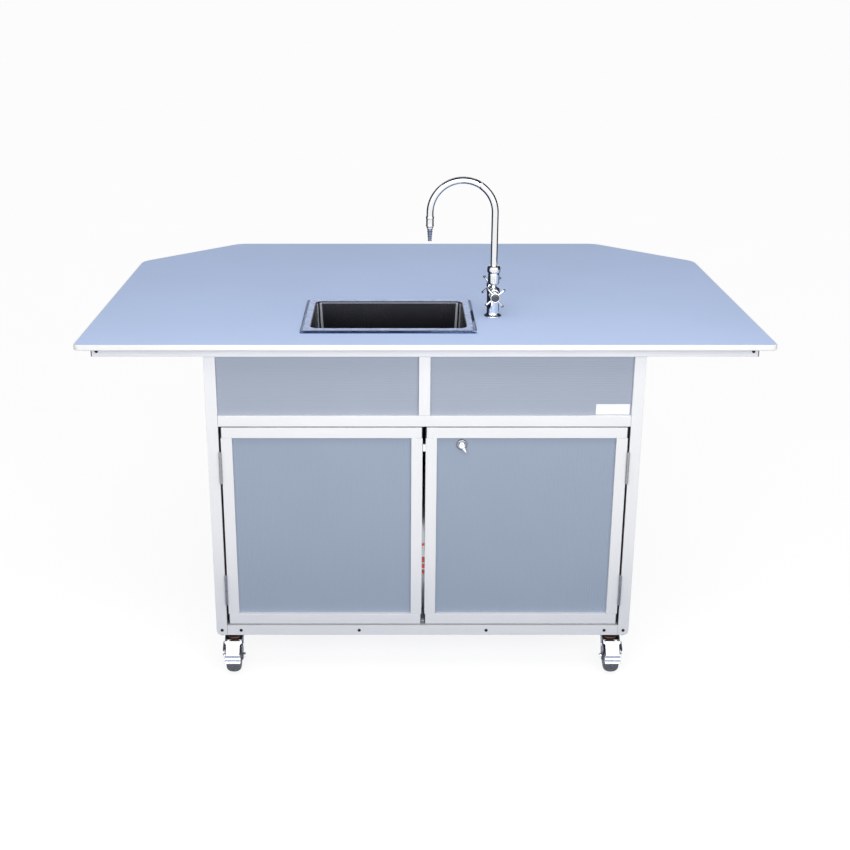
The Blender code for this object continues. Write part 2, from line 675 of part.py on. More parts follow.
# ------------------------------------------------------------------ tanks, pump, heater and pipes
def build_tank(name, x, neck, cap_hole, cap_material):
    centre = (x, TANK_Y)
    low = FLOOR_TOP + GAP
    inset = 2 * TANK_ROUND * (1 - math.sqrt(0.5))
    rings = [
        round_ring(NECK_RADIUS, TANK_TOP + NECK_HEIGHT, neck),
        round_ring(NECK_RADIUS, TANK_TOP, neck),
        ring(TANK_WIDTH - 2 * TANK_ROUND, TANK_DEPTH - 2 * TANK_ROUND, 0.020, TANK_TOP, centre),
        ring(TANK_WIDTH - inset, TANK_DEPTH - inset, 0.028, TANK_TOP - inset / 2, centre),
        ring(TANK_WIDTH, TANK_DEPTH, 0.035, TANK_TOP - TANK_ROUND, centre),
        ring(TANK_WIDTH, TANK_DEPTH, 0.035, low + 0.015, centre),
        ring(TANK_WIDTH - 0.030, TANK_DEPTH - 0.030, 0.028, low, centre),
    ]
    tank = loft(f"{name}_tank", rings, True, TANK_PLASTIC)
    thicken(tank, TANK_WALL, -1)
    skirt = NECK_RADIUS + GAP + 0.0010
    over = TANK_TOP + NECK_HEIGHT + GAP
    turned(f"{name}_cap", [(skirt + 0.004, over + 0.004), (skirt + 0.005, over + 0.003),
                           (skirt + 0.005, TANK_TOP + 0.002), (skirt, TANK_TOP + 0.002), (skirt, over),
                           (cap_hole, over), (cap_hole, over + 0.004)], (*neck, 0), cap_material, 20, True)


def build_water_system():
    build_tank("waste", SINK_X, (SINK_X, SINK_Y), TAIL_RADIUS + 0.0008, CAP_RED)
    build_tank("fresh", FRESH_TANK_X, (FRESH_TANK_X, FRESH_NECK_Y), SUCTION_RADIUS + 0.0008, CAP_BLUE)

    head_low = FLOOR_TOP + GAP
    head_top = head_low + 0.080
    pump = box("pump", (FRESH_TANK_X - 0.030, PUMP_Y - 0.035, head_low),
               (FRESH_TANK_X + 0.060, PUMP_Y + 0.035, head_top), DARK_PLASTIC)
    motor_x, motor_z = FRESH_TANK_X + 0.015, head_low + 0.040
    join(pump, cylinder("pump_motor", 0.033, (motor_x, PUMP_Y, motor_z),
                        (motor_x, PUMP_Y + 0.145, motor_z), 1, DARK_PLASTIC, segments=16))

    width, depth, height = HEATER_SIZE
    heater = box("water_heater", (HEATER_X - width / 2, HEATER_Y - depth / 2, head_low),
                 (HEATER_X + width / 2, HEATER_Y + depth / 2, head_low + height), WHITE_ENAMEL)
    soften(heater, 0.012, 2)

    bend = (PUMP_Y - FRESH_NECK_Y) / 2
    crest = TANK_TOP + 0.070
    middle = (FRESH_NECK_Y + PUMP_Y) / 2
    over_top = [(FRESH_TANK_X, y, z) for y, z in arc((middle, crest), bend, math.pi, 0.0, 10)]
    tube_along("suction_pipe", [(FRESH_TANK_X, FRESH_NECK_Y, FLOOR_TOP + 0.030), *over_top,
                                (FRESH_TANK_X, PUMP_Y, head_top + GAP)], SUCTION_RADIUS, DARK_PLASTIC,
               sides_setting=2)
    shank_end = WORKTOP_TOP - 0.055 - GAP
    cold_x = FAUCET_X + 0.0062
    cold = [(FRESH_TANK_X + 0.045, PUMP_Y, head_top + GAP), (FRESH_TANK_X + 0.045, PUMP_Y, 0.590),
            (cold_x, FAUCET_Y, 0.640), (cold_x, FAUCET_Y, shank_end)]
    tube_along("cold_pipe", filleted(cold, 0.040), PIPE_RADIUS, DARK_PLASTIC, sides_setting=2)
    hot_x, hot_y = FAUCET_X - 0.0062, -0.110
    hot = [(HEATER_X + 0.030, HEATER_Y + 0.060, head_low + height + GAP),
           (HEATER_X + 0.030, HEATER_Y + 0.060, 0.570), (HEATER_X + 0.160, hot_y, 0.590),
           (hot_x, hot_y, 0.610), (hot_x, FAUCET_Y, 0.640), (hot_x, FAUCET_Y, shank_end)]
    tube_along("hot_pipe", filleted(hot, 0.035), PIPE_RADIUS, DARK_PLASTIC, sides_setting=2)


# ------------------------------------------------------------------ faucet
def build_faucet():
    place = (FAUCET_X, FAUCET_Y, WORKTOP_TOP)
    upper = 0.013
    body = turned("faucet_body", [
        (0.0, 0.090), (SOCKET_RADIUS, 0.090), (SOCKET_RADIUS, 0.1035), (upper, 0.1035), (upper, 0.080),
        (0.0115, 0.0770), (0.0065, 0.0765), (0.0065, 0.0715), (0.0100, 0.0700), (COLUMN_RADIUS, 0.0655),
        (COLUMN_RADIUS, 0.0080), (0.0160, 0.0062), (0.0205, 0.0048), (0.0205, GAP), (0.0100, GAP),
        (0.0100, -0.055), (0.0, -0.055)], place, CHROME, 24)
    valve_z = WORKTOP_TOP + VALVE_HEIGHT
    bonnet = HANDLE_OFFSET - HUB_LENGTH - GAP
    join(body, cylinder("valve_body", VALVE_RADIUS, (FAUCET_X, FAUCET_Y - bonnet, valve_z),
                        (FAUCET_X, FAUCET_Y + bonnet, valve_z), 1, CHROME, segments=20))

    turned("spout_nut", [(0.0110, 0.1207), (0.0135, 0.1190), (0.01525, 0.1150), (0.01525, 0.1070),
                         (0.0138, 0.1035 + GAP), (SOCKET_RADIUS, 0.1035 + GAP), (SOCKET_RADIUS, 0.1207)],
           place, CHROME, 24, True)

    swivel = pivot("spout_axis", place)
    centre = (FAUCET_X - SPOUT_BEND, WORKTOP_TOP + SPOUT_BEND_HEIGHT)
    bend = [(x, FAUCET_Y, z) for x, z in arc(centre, SPOUT_BEND, 0.0, math.pi, 14)]
    run = [(FAUCET_X, FAUCET_Y, WORKTOP_TOP + 0.0920), *bend,
           (FAUCET_X - 2 * SPOUT_BEND, FAUCET_Y, WORKTOP_TOP + SPOUT_END_HEIGHT)]
    tube_along("gooseneck", run, SPOUT_RADIUS, CHROME, SPOUT_WALL, 4, swivel)

    shelf = SPOUT_END_HEIGHT - GAP
    turned("nozzle", [(0.0090, 0.2345), (0.0090, 0.2135), (0.0075, 0.2120), (0.0075, 0.2080),
                      (0.00625, 0.2075), (0.0045, NOZZLE_TIP_HEIGHT), (0.0028, NOZZLE_TIP_HEIGHT),
                      (0.0028, shelf), (SOCKET_RADIUS, shelf), (SOCKET_RADIUS, 0.2345)],
           (FAUCET_X - 2 * SPOUT_BEND, FAUCET_Y, WORKTOP_TOP), CHROME, 16, True, swivel)

    for name, direction in (("front", -1), ("rear", 1)):
        build_handle(name, direction, valve_z)


def build_handle(name, direction, height):
    """A hub on the valve with four thin arms."""
    face = FAUCET_Y + direction * HANDLE_OFFSET
    root = face - direction * HUB_LENGTH
    axis = pivot(f"valve_{name}_axis", (FAUCET_X, face, height))
    low, high = sorted((face, root))
    handle = cylinder(f"valve_handle_{name}", HUB_RADIUS, (FAUCET_X, low, height),
                      (FAUCET_X, high, height), 1, CHROME, axis, 20)
    middle = (low + high) / 2
    for number in range(2):
        arm = cylinder(f"handle_{name}_arm_{number}", ARM_RADIUS, (FAUCET_X, middle, height - ARM_REACH),
                       (FAUCET_X, middle, height + ARM_REACH), 2, CHROME, None, 8)
        arm.rotation_euler = (0, ARM_ANGLE + number * math.pi / 2 - math.pi / 2, 0)
        join(handle, arm)


# ------------------------------------------------------------------ casters
def across(outline, x_low, x_high, name, swivel_place, material):
    """A plate that stands across X, from (ahead, up) points about a caster's swivel axis."""
    points = [(-ahead, up) for ahead, up in outline]
    turn = Matrix(((0, 0, 1, 0), (1, 0, 0, 0), (0, 1, 0, 0), (0, 0, 0, 1)))
    place = (swivel_place[0] + (x_low + x_high) / 2, swivel_place[1], 0)
    return flat_piece(name, [points], x_high - x_low, material, place, turn)


LEG_OUTLINE = [(-0.016, 0.0800), (-0.016, CROWN_TOP - 0.001), (0.022, CROWN_TOP - 0.001), (0.043, 0.066),
               (0.041, 0.036), (0.036, 0.029), (0.025, 0.029), (0.018, 0.040), (0.002, 0.0780)]
EAR_OUTLINE = [(0.029, 0.065), (0.030, 0.077), (0.040, 0.0800), (0.0600, 0.0690), (0.050, 0.060),
               (0.036, 0.062)]
PEDAL_TOP_ANGLE = math.radians(78)
PEDAL_TOE_ANGLE = math.radians(4)


def build_yoke(name, place, swivel):
    """The swivelling fork: a crown, two legs and the axle between them."""
    x, y = place
    yoke = turned(name, [(0.0, CROWN_TOP), (CROWN_RADIUS - 0.001, CROWN_TOP), (CROWN_RADIUS, CROWN_TOP - 0.001),
                         (CROWN_RADIUS, CROWN_BOTTOM), (0.0, CROWN_BOTTOM)], (x, y, 0), ZINC, 24, parent=swivel)
    for side in (LEFT, RIGHT):
        low, high = sorted((side * LEG_INSIDE, side * (LEG_INSIDE + LEG_THICKNESS)))
        join(yoke, across(LEG_OUTLINE, low, high, f"{name}_leg", place, ZINC))
    axle_y = y - CASTER_LEAD
    join(yoke, cylinder(f"{name}_axle", AXLE_RADIUS, (x - AXLE_END, axle_y, WHEEL_RADIUS),
                        (x + AXLE_END, axle_y, WHEEL_RADIUS), 0, ZINC, segments=12))


def build_wheel(name, place, swivel):
    """Tyre and hub in one turned ring, with a flat of its outline on the floor."""
    segments = 24
    outer = WHEEL_RADIUS / math.cos(math.pi / segments)
    half = WHEEL_WIDTH / 2
    bore = AXLE_RADIUS + 2 * GAP
    profile = [(outer - 0.005, half), (outer, half - 0.007), (outer, -half + 0.007), (outer - 0.005, -half),
               (0.026, -half), (0.024, -half + 0.004), (0.010, -half + 0.004), (0.009, -half - 0.0008),
               (bore, -half - 0.0008), (bore, half + 0.0008), (0.009, half + 0.0008),
               (0.010, half - 0.004), (0.024, half - 0.004), (0.026, half)]
    x, y = place
    axle = pivot(f"{name}_axis", (x, y - CASTER_LEAD, WHEEL_RADIUS))
    wheel = turned(name, profile, axle.location, RUBBER, segments, True, start=math.pi / segments)
    wheel.rotation_euler = (0, math.pi / 2, 0)
    attach(wheel, axle)
    attach(axle, swivel)


def build_pedal(name, place, swivel):
    """The brake pedal: a plate bent round the wheel, on two ears that pivot on the legs."""
    x, y = place
    axle = (CASTER_LEAD, WHEEL_RADIUS)
    outer = PEDAL_INSIDE + PEDAL_THICKNESS
    outline = arc(axle, outer, PEDAL_TOP_ANGLE, PEDAL_TOE_ANGLE, 10)
    outline += arc(axle, PEDAL_INSIDE, PEDAL_TOE_ANGLE, PEDAL_TOP_ANGLE, 10)
    half = PEDAL_WIDTH / 2
    pedal = across(outline, -half, half, name, place, ZINC)
    for side in (LEFT, RIGHT):
        low, high = sorted((side * (half - 0.0016), side * half))
        join(pedal, across(EAR_OUTLINE, low, high, f"{name}_ear", place, ZINC))
    hinge = pivot(f"{name}_pivot", (x, y - PEDAL_PIVOT[0], PEDAL_PIVOT[1]))
    attach(pedal, hinge)
    attach(hinge, swivel)


def build_casters():
    for end_name, y in CASTER_Y.items():
        for side_name, side in SIDES.items():
            label = f"{end_name}_{side_name}"
            x = side * CASTER_X
            plate_x, plate_y, _ = CASTER_PLATE
            plate = box(f"caster_plate_{label}", (x - plate_x / 2, y - plate_y / 2, PLATE_BOTTOM),
                        (x + plate_x / 2, y + plate_y / 2, PLATE_TOP), ZINC)
            join(plate, cylinder(f"race_{label}", RACE_RADIUS, (x, y, RACE_BOTTOM), (x, y, PLATE_TOP - 0.002),
                                 2, ZINC, segments=24))
            swivel = pivot(f"caster_{label}_axis", (x, y, 0))
            build_yoke(f"caster_yoke_{label}", (x, y), swivel)
            build_wheel(f"caster_wheel_{label}", (x, y), swivel)
            if end_name == "front":
                build_pedal(f"brake_pedal_{label}", (x, y), swivel)


build_worktop()
build_frame()
build_panels()
build_doors()
build_sink()
build_water_system()
build_faucet()
build_casters()

for piece in PARTS.objects:
    if piece.type == "MESH" and len(piece.data.polygons) > 12:
        piece.data.shade_smooth()
        piece.data.set_sharp_from_angle(angle=math.radians(35))
bpy.context.view_layer.update()
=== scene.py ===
"""The looks of the portable sink: finer pieces and materials, a pale floor and soft light.

Metres, +Z up, the doors face -Y. Every piece lies in the model's own frame at rest.
"""

import math

import bmesh
import bpy
from mathutils import Matrix, Vector, geometry


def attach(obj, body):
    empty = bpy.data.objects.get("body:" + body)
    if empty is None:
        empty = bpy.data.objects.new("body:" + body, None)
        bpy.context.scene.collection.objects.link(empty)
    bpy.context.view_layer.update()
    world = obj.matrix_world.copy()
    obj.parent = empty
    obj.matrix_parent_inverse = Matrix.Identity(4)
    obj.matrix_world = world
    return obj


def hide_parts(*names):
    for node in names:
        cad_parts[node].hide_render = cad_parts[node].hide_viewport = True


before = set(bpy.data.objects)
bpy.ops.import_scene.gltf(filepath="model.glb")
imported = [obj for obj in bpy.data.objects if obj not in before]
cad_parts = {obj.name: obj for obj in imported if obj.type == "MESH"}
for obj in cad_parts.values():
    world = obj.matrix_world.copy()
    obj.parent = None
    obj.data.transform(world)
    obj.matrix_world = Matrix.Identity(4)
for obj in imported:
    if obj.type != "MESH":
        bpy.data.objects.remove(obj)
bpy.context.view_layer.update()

# ------------------------------------------------------------------ sizes shared with the model
GAP = 0.0003
TUBE = 0.0254
EDGE = 0.0009                   # rounding on the frame tube's edges
RAIL_SCREW_X, RAIL_SCREW_Z = 0.720, 0.800
POST_SCREW_X, POST_SCREW_TOP = 0.474, 0.775
TOP_LOW, TOP_HIGH = 0.8128, 0.8255
RAILS_LOW, RAILS_HIGH = 0.7874, 0.8125
RAIL_END = 0.7327
SIDE = 0.487
POST_INNER = SIDE - TUBE
FRONT, BACK = -0.502, 0.260
MID_LOW, MID_HIGH = 0.6249, 0.6503
BASE_LOW, BASE_HIGH = 0.1016, 0.1270
BASE_MIDDLE = (BASE_LOW + BASE_HIGH) / 2
CASTER_BEARER, FLOOR_BEARER = 0.429, 0.150
PANEL_RECESS = 0.0095
PANEL_THICKNESS = 0.006
PANEL_FRONT = FRONT + PANEL_RECESS
FLUTE_PITCH = 0.0056
FLUTE_DEPTH = 0.00022
DOOR_LOW, DOOR_HIGH = 0.1317, 0.6228
DOOR_INNER, DOOR_OUTER = 0.0035, 0.4568
CAP = 0.002                     # thickness of a plastic end cap
HINGE_X, HINGE_Y = 0.4592, -0.506
HINGE_HEIGHTS = {"upper": 0.5269, "lower": 0.2208}
HINGE_HALF, HINGE_ROOM = 0.038, 0.0386  # half its length, and half the gap in the gasket
LATCH_X, LATCH_Z = 0.085, 0.579
SINK_X, SINK_Y = -0.080, -0.2977
BOWL_WIDTH, BOWL_LENGTH = 0.348, 0.242
BOWL_LOW = 0.6657
RIM_NARROWER = 0.093            # the rim's width less its length
FAUCET_X, FAUCET_Y = 0.162, -0.2977
CASTER_X = 0.450
CASTER_Y = {"front": -0.456, "rear": 0.214}
LEAD = 0.030
CASTER_PAD = 0.084
PEDAL_WIDTHS = ((0.0, 0.0208), (0.05, 0.0208), (0.16, 0.0164), (0.56, 0.0164), (0.80, 0.0190),
                (1.0, 0.0186))
WHEEL_RADIUS = 0.038
FLOOR_TOP = 0.1333
TANK_TOP = 0.3786
TANK_Y = -0.240
SIDES = {"left": -1, "right": 1}

# ------------------------------------------------------------------ light
WORLD_ABOVE = (1.01, 1.01, 1.02, 1.0)
WORLD_BELOW = (0.36, 0.41, 0.53, 1.0)
WORLD_FILL = 0.52  # share of the surroundings' light that falls on matt surfaces
DARK, DUSK = (0.020, 0.026, 0.045), (0.24, 0.30, 0.46)
REFLECTION_CARDS = (  # place, what it faces, width and height, colour
    ((0.0, 2.0, 0.02), (0.0, 2.0, 1.0), (11.0, 1.9), DARK),
    ((0.0, 3.0, 0.67), (0.0, 0.0, 0.67), (18.0, 1.30), DARK),
    ((0.0, 3.0, 3.40), (0.0, 0.0, 3.40), (18.0, 2.70), DARK),
    ((-3.6, 0.4, 0.02), (-3.6, 0.4, 1.0), (3.6, 3.0), DARK),
    ((3.6, 0.4, 0.02), (3.6, 0.4, 1.0), (3.6, 3.0), DARK),
    ((-3.5, 0.8, 2.50), (0.0, 0.8, 2.50), (4.2, 4.9), DARK),
    ((3.5, 0.8, 2.50), (0.0, 0.8, 2.50), (4.2, 4.9), DARK),
    ((0.0, -0.4, 3.4), (0.0, -0.4, 0.0), (4.0, 3.2), DARK),
    ((0.0, -0.80, 0.012), (0.0, -0.80, 1.0), (2.2, 0.44), DUSK),
    ((0.126, -0.260, 0.995), (0.162, -0.260, 0.995), (0.10, 0.33), DARK),
    ((0.204, -0.250, 0.995), (0.162, -0.250, 0.995), (0.08, 0.33), DARK),
    ((-0.030, -0.262, 1.040), (0.014, -0.262, 1.040), (0.11, 0.22), DARK),
)
LIGHTS = (  # name, place, what it faces, width and height, watts
    ("key_light", (0.1, -2.3, 1.35), (0, -0.45, 0.6), (2.4, 0.7), 27.5),
    ("worktop_light", (0.0, -1.25, 1.95), (0, -0.50, 0.82), (2.2, 0.5), 5.0),
    ("cabinet_light", (0.0, -0.474, 0.29), (0, -0.44, 0.29), (0.010, 0.15), 0.02),
)
FLOOR_SIZE = 240.0
FLOOR_GLOW = 0.84
CAMERA_PLACE = (-0.069, -3.2515, 1.600)
CAMERA_DIP = 19.449  # degrees below level
CAMERA_LENS, CAMERA_SHIFT = 55.29, 0.0371


# ------------------------------------------------------------------ materials
def add_node(tree, kind, values=None, **settings):
    """A shader node with its settings, and values for its inputs."""
    node = tree.nodes.new(kind)
    for key, value in settings.items():
        setattr(node, key, value)
    for key, value in (values or {}).items():
        node.inputs[key].default_value = value
    return node


class Paint:
    """A Principled material with procedural detail in object space."""

    def __init__(self, name, colour, roughness, metallic=0.0, **sockets):
        self.material = bpy.data.materials.new(name)
        self.material.use_nodes = True
        self.tree = self.material.node_tree
        self.link = self.tree.links.new
        self.inputs = self.tree.nodes["Principled BSDF"].inputs
        self.colour = (*colour, 1.0)
        self.tint = None
        values = {"Base Color": self.colour, "Roughness": roughness, "Metallic": metallic}
        values.update({socket.replace("_", " "): value for socket, value in sockets.items()})
        for socket, value in values.items():
            self.inputs[socket].default_value = value
        self.place = self.add("ShaderNodeTexCoord").outputs["Object"]

    def add(self, kind, values=None, **settings):
        return add_node(self.tree, kind, values, **settings)

    def noise(self, cells, detail=2.0, stretch=(1, 1, 1), rough=0.5):
        """Noise with that many cells per metre, drawn out along the axes where stretch is small."""
        mapping = self.add("ShaderNodeMapping", {"Scale": stretch})
        texture = self.add("ShaderNodeTexNoise", {"Scale": cells, "Detail": detail, "Roughness": rough})
        self.link(self.place, mapping.inputs["Vector"])
        self.link(mapping.outputs["Vector"], texture.inputs["Vector"])
        return texture.outputs["Fac"]

    def along(self, axis):
        """The position along an axis, in metres."""
        split = self.add("ShaderNodeSeparateXYZ")
        self.link(self.place, split.inputs[0])
        return split.outputs["XYZ".index(axis)]

    def spread(self, value, low, high, start=0.35, end=0.65):
        """A value between start and end, mapped to low and high."""
        limits = {"From Min": start, "From Max": end, "To Min": low, "To Max": high}
        ranged = self.add("ShaderNodeMapRange", limits)
        self.link(value, ranged.inputs["Value"])
        return ranged.outputs["Result"]

    def fade(self, factor, colour):
        """Mix a colour over what the base colour already is."""
        mix = self.add("ShaderNodeMix", {"B": (*colour, 1.0)}, data_type="RGBA")
        self.link(factor, mix.inputs["Factor"])
        if self.tint is None:
            mix.inputs["A"].default_value = self.colour
        else:
            self.link(self.tint, mix.inputs["A"])
        self.tint = mix.outputs["Result"]
        self.link(self.tint, self.inputs["Base Color"])

    def mottle(self, colour, most, *noise, between=(0.35, 0.65), **settings):
        """Patches of another colour, mixed in up to the share `most`."""
        self.fade(self.spread(self.noise(*noise, **settings), 0.0, most, *between), colour)

    def uneven(self, low, high, *noise):
        """Roughness that wanders between two values."""
        self.link(self.spread(self.noise(*noise), low, high), self.inputs["Roughness"])

    def bump(self, height, depth):
        """The last step: relief that is `depth` metres deep, and the finished material."""
        node = self.add("ShaderNodeBump", {"Strength": 1.0, "Distance": depth})
        self.link(height, node.inputs["Height"])
        self.link(node.outputs["Normal"], self.inputs["Normal"])
        return self.material


def scaled(colour, factor):
    return tuple(min(1.0, channel * factor) for channel in colour)


def stretched(axis, share):
    """Noise scales for lines drawn out along an axis."""
    return [share if name == axis else 1.0 for name in "XYZ"]


def laminate(name, colour):
    paint = Paint(name, colour, 0.52, Specular_IOR_Level=0.07)
    paint.mottle(scaled(colour, 0.955), 1.0, 2.2, 3.0)
    paint.mottle(scaled(colour, 1.12), 0.35, 1500.0)
    paint.uneven(0.46, 0.58, 420.0, 3.0)
    return paint.bump(paint.noise(1100.0, 3.0), 0.00003)


def edge_band():
    colour = (0.93, 0.92, 0.90)
    paint = Paint("edge_band", colour, 0.45)
    paint.mottle(scaled(colour, 0.95), 0.5, 60.0, 3.0)
    paint.uneven(0.40, 0.52, 300.0)
    return paint.bump(paint.noise(700.0), 0.00003)


def anodised(name, grain):
    """Satin aluminium with its fine lines drawn along one axis."""
    colour = (0.86, 0.862, 0.875)
    stretch = stretched(grain, 0.012)
    paint = Paint(name, colour, 0.38, 0.25, Specular_IOR_Level=0.5)
    lines = paint.noise(1700.0, 3.0, stretch)
    paint.fade(paint.spread(lines, 0.0, 0.45), scaled(colour, 0.90))
    paint.mottle(scaled(colour, 0.94), 0.35, 9.0, 3.0)
    paint.uneven(0.30, 0.46, 500.0, 2.0, stretch)
    return paint.bump(lines, 0.000012)


def twin_wall(name, ribs, across, colour):
    """Ribbed plastic sheet: pale webs show through it, drawn along the ribs' axis."""
    paint = Paint(name, colour, 0.34, Specular_IOR_Level=0.45)
    wave = paint.add("ShaderNodeMath", {1: FLUTE_PITCH / 2}, operation="PINGPONG")
    paint.link(paint.along(across), wave.inputs[0])
    paint.fade(paint.spread(wave.outputs[0], 0.45, 0.0, 0.0, FLUTE_PITCH * 0.16), scaled(colour, 1.14))
    stretch = stretched(ribs, 0.03)
    paint.mottle(scaled(colour, 0.96), 0.2, 230.0, 2.0, stretch)
    paint.mottle(scaled(colour, 0.95), 0.4, 5.0)
    paint.uneven(0.34, 0.40, 90.0, 3.0)
    return paint.bump(paint.noise(300.0, 2.0, stretch), 0.00001)


def brushed(name, colour, roughness, metallic=1.0, grain=None, mottling=0.9):
    """Worked metal: fine lines along an axis, or an even fine grain, and slight mottling."""
    paint = Paint(name, colour, roughness, metallic)
    lines = paint.noise(1400.0, 3.0, stretched(grain, 0.02))
    paint.fade(paint.spread(lines, 0.0, 0.5), scaled(colour, mottling))
    paint.mottle(scaled(colour, mottling), 0.5, 70.0, 4.0)
    paint.uneven(roughness * 0.85, roughness * 1.25, 60.0, 3.0)
    return paint.bump(lines, 0.000004)


def chrome():
    paint = Paint("chrome", (0.93, 0.935, 0.945), 0.05, 1.0)
    paint.mottle((0.86, 0.87, 0.885), 0.4, 45.0, 3.0)
    paint.uneven(0.03, 0.11, 140.0, 4.0)
    return paint.bump(paint.noise(260.0), 0.000006)


def plastic(name, colour, roughness, variation=0.88, cells=880.0, depth=0.00004, **sockets):
    """Moulded plastic or rubber with a fine even texture and slight unevenness."""
    paint = Paint(name, colour, roughness, **sockets)
    paint.mottle(scaled(colour, variation), 0.8, 30.0, 4.0)
    paint.uneven(roughness * 0.85, min(1.0, roughness * 1.2), 120.0, 3.0)
    return paint.bump(paint.noise(cells, 3.0), depth)


def tyre_rubber():
    paint = Paint("tyre", (0.105, 0.118, 0.150), 0.72)
    paint.mottle((0.21, 0.21, 0.215), 1.0, 170.0, 5.0, rough=0.7, between=(0.45, 0.62))
    paint.mottle((0.07, 0.075, 0.085), 0.8, 520.0, 3.0, between=(0.48, 0.62))
    paint.uneven(0.62, 0.85, 200.0)
    return paint.bump(paint.noise(600.0, 4.0), 0.0002)


def race_grease():
    paint = Paint("race_grease", (0.56, 0.16, 0.07), 0.55, 0.15)
    paint.mottle((0.72, 0.40, 0.27), 1.0, 260.0, 4.0, between=(0.42, 0.60))
    paint.mottle((0.07, 0.035, 0.03), 0.9, 420.0, 3.0, between=(0.52, 0.64))
    paint.uneven(0.40, 0.70, 300.0)
    return paint.bump(paint.noise(500.0, 4.0), 0.0002)


def bowl_steel_painted_shade():
    """Deep-drawn steel with upright draw lines; its near-black colour, darker towards the bottom, is
    painted shade and painted dark reflection.
    """
    draw_lines = (700.0, 2.0, (1, 1, 0.01))
    paint = Paint("bowl_steel_painted_shade", (0.066, 0.068, 0.084), 0.26, 0.85)
    # Painted shade: the colour darkens towards the bowl's bottom.
    paint.fade(paint.spread(paint.along("Z"), 1.0, 0.0, 0.72, 0.832), (0.027, 0.028, 0.036))
    paint.mottle((0.062, 0.065, 0.080), 0.25, *draw_lines)
    paint.uneven(0.26, 0.28, 25.0)
    return paint.bump(paint.noise(*draw_lines), 0.000004)


# The worktop's pale blue is painted skylight: the blue of the reflected sky laid into the colour of a paler
# top.
SKYLIGHT_BLUE_PAINTED = (0.560, 0.690, 0.995)
SHEET_UPPER = (0.365, 0.408, 0.490)
SHEET_DOOR = (0.322, 0.382, 0.485)
LAMINATE = laminate("laminate", SKYLIGHT_BLUE_PAINTED)
BAND = edge_band()
FRAME = {axis: anodised(f"anodised_{axis}", axis) for axis in "XYZ"}
UPPER_SHEET = twin_wall("twin_wall_across", "X", "Z", SHEET_UPPER)
SIDE_SHEET = twin_wall("twin_wall_side", "Y", "Z", SHEET_UPPER)
DOOR_SHEET = twin_wall("twin_wall_upright", "Z", "X", SHEET_DOOR)
FLOOR_SHEET = twin_wall("twin_wall_floor", "Y", "X", SHEET_UPPER)
# The rim steel's blue is painted sky reflection.
RIM_SKY_PAINTED = brushed("rim_steel", (0.34, 0.45, 0.74), 0.18, grain="X", mottling=0.985)
BOWL_SHADE_PAINTED = bowl_steel_painted_shade()
# Painted highlight: lighter steel for upright strips on the bowl's rounded corners.
BOWL_PAINTED_HIGHLIGHT = brushed("bowl_corner_highlight_paint", (0.42, 0.44, 0.50), 0.30, 0.1, "Z", 0.96)
CHROME = chrome()
# Darker chrome for the handles' ball tips: painted shade.
CHROME_PAINTED_SHADE = brushed("chrome_tip_painted_shade", (0.20, 0.21, 0.24), 0.12, mottling=0.96)
BRIGHT_ZINC = brushed("bright_zinc", (0.96, 0.965, 0.98), 0.20, 0.85, mottling=0.99)
# The yokes' dark bluish zinc is painted shade; the mount plates, pedal ears and pump motor share it.
FORK_ZINC = brushed("fork_zinc", (0.13, 0.15, 0.20), 0.34, 0.9, mottling=0.80)
HINGE_ZINC = brushed("hinge_zinc", (0.38, 0.38, 0.40), 0.30, grain="Z")
LATCH_GREY = brushed("latch_grey", (0.30, 0.31, 0.34), 0.16, mottling=0.95)
# Darker, bluish chrome for the nozzle's serrations: painted shade and painted sky reflection.
SERRATION_PAINTED_SHADE = brushed("serration_chrome_painted_shade", (0.46, 0.52, 0.66), 0.14, mottling=0.97)
TYRE = tyre_rubber()
WHEEL_HUB = plastic("wheel_hub", (0.30, 0.31, 0.33), 0.50)
RACE = race_grease()
BLACK = plastic("black_plastic", (0.018, 0.019, 0.023), 0.45)
SCREW = brushed("black_screw", (0.006, 0.006, 0.009), 0.55, 0.2)
TANK = plastic("tank_plastic", (0.66, 0.68, 0.70), 0.42, 0.90, Subsurface_Weight=0.15)
CAP_RED = plastic("cap_red", (0.52, 0.035, 0.022), 0.38)
CAP_BLUE = plastic("cap_blue", (0.035, 0.11, 0.42), 0.38)
ENAMEL = plastic("heater_enamel", (0.80, 0.80, 0.78), 0.28, 0.95, 240.0)
BRASS = brushed("brass", (0.62, 0.45, 0.17), 0.28)
PIPE = plastic("pipe_plastic", (0.74, 0.76, 0.78), 0.40)
PIPE_RED = plastic("pipe_red", (0.48, 0.06, 0.05), 0.42)
PIPE_BLUE = plastic("pipe_blue", (0.07, 0.16, 0.45), 0.42)
BUTTON = plastic("index_button", (0.055, 0.062, 0.080), 0.30)
PLATE_WHITE = plastic("name_plate", (0.96, 0.965, 0.98), 0.35, 0.96, 360.0, 0.00001)
PLATE_GREY = plastic("name_plate_edge", (0.42, 0.45, 0.52), 0.35, 0.95, 360.0, 0.00001)


# ------------------------------------------------------------------ shape helpers
def add_object(name, data):
    made = bpy.data.objects.new(name, data)
    bpy.context.scene.collection.objects.link(made)
    return made


def at(x, y, z=0.0):
    return Matrix.Translation((x, y, z))


def towards(centre, direction):
    """Places local +Z along a direction, at a centre."""
    turn = Vector(direction).to_track_quat("Z", "Y").to_matrix().to_4x4()
    return Matrix.Translation(centre) @ turn


def axes(across, along, face, origin):
    """A matrix from the directions of local X, Y and Z."""
    matrix = Matrix((across, along, face)).transposed().to_4x4()
    matrix.translation = origin
    return matrix


def front_plane(x, y, z):
    """X to the right and Y upwards, seen from the front."""
    return axes((1, 0, 0), (0, 0, 1), (0, -1, 0), (x, y, z))


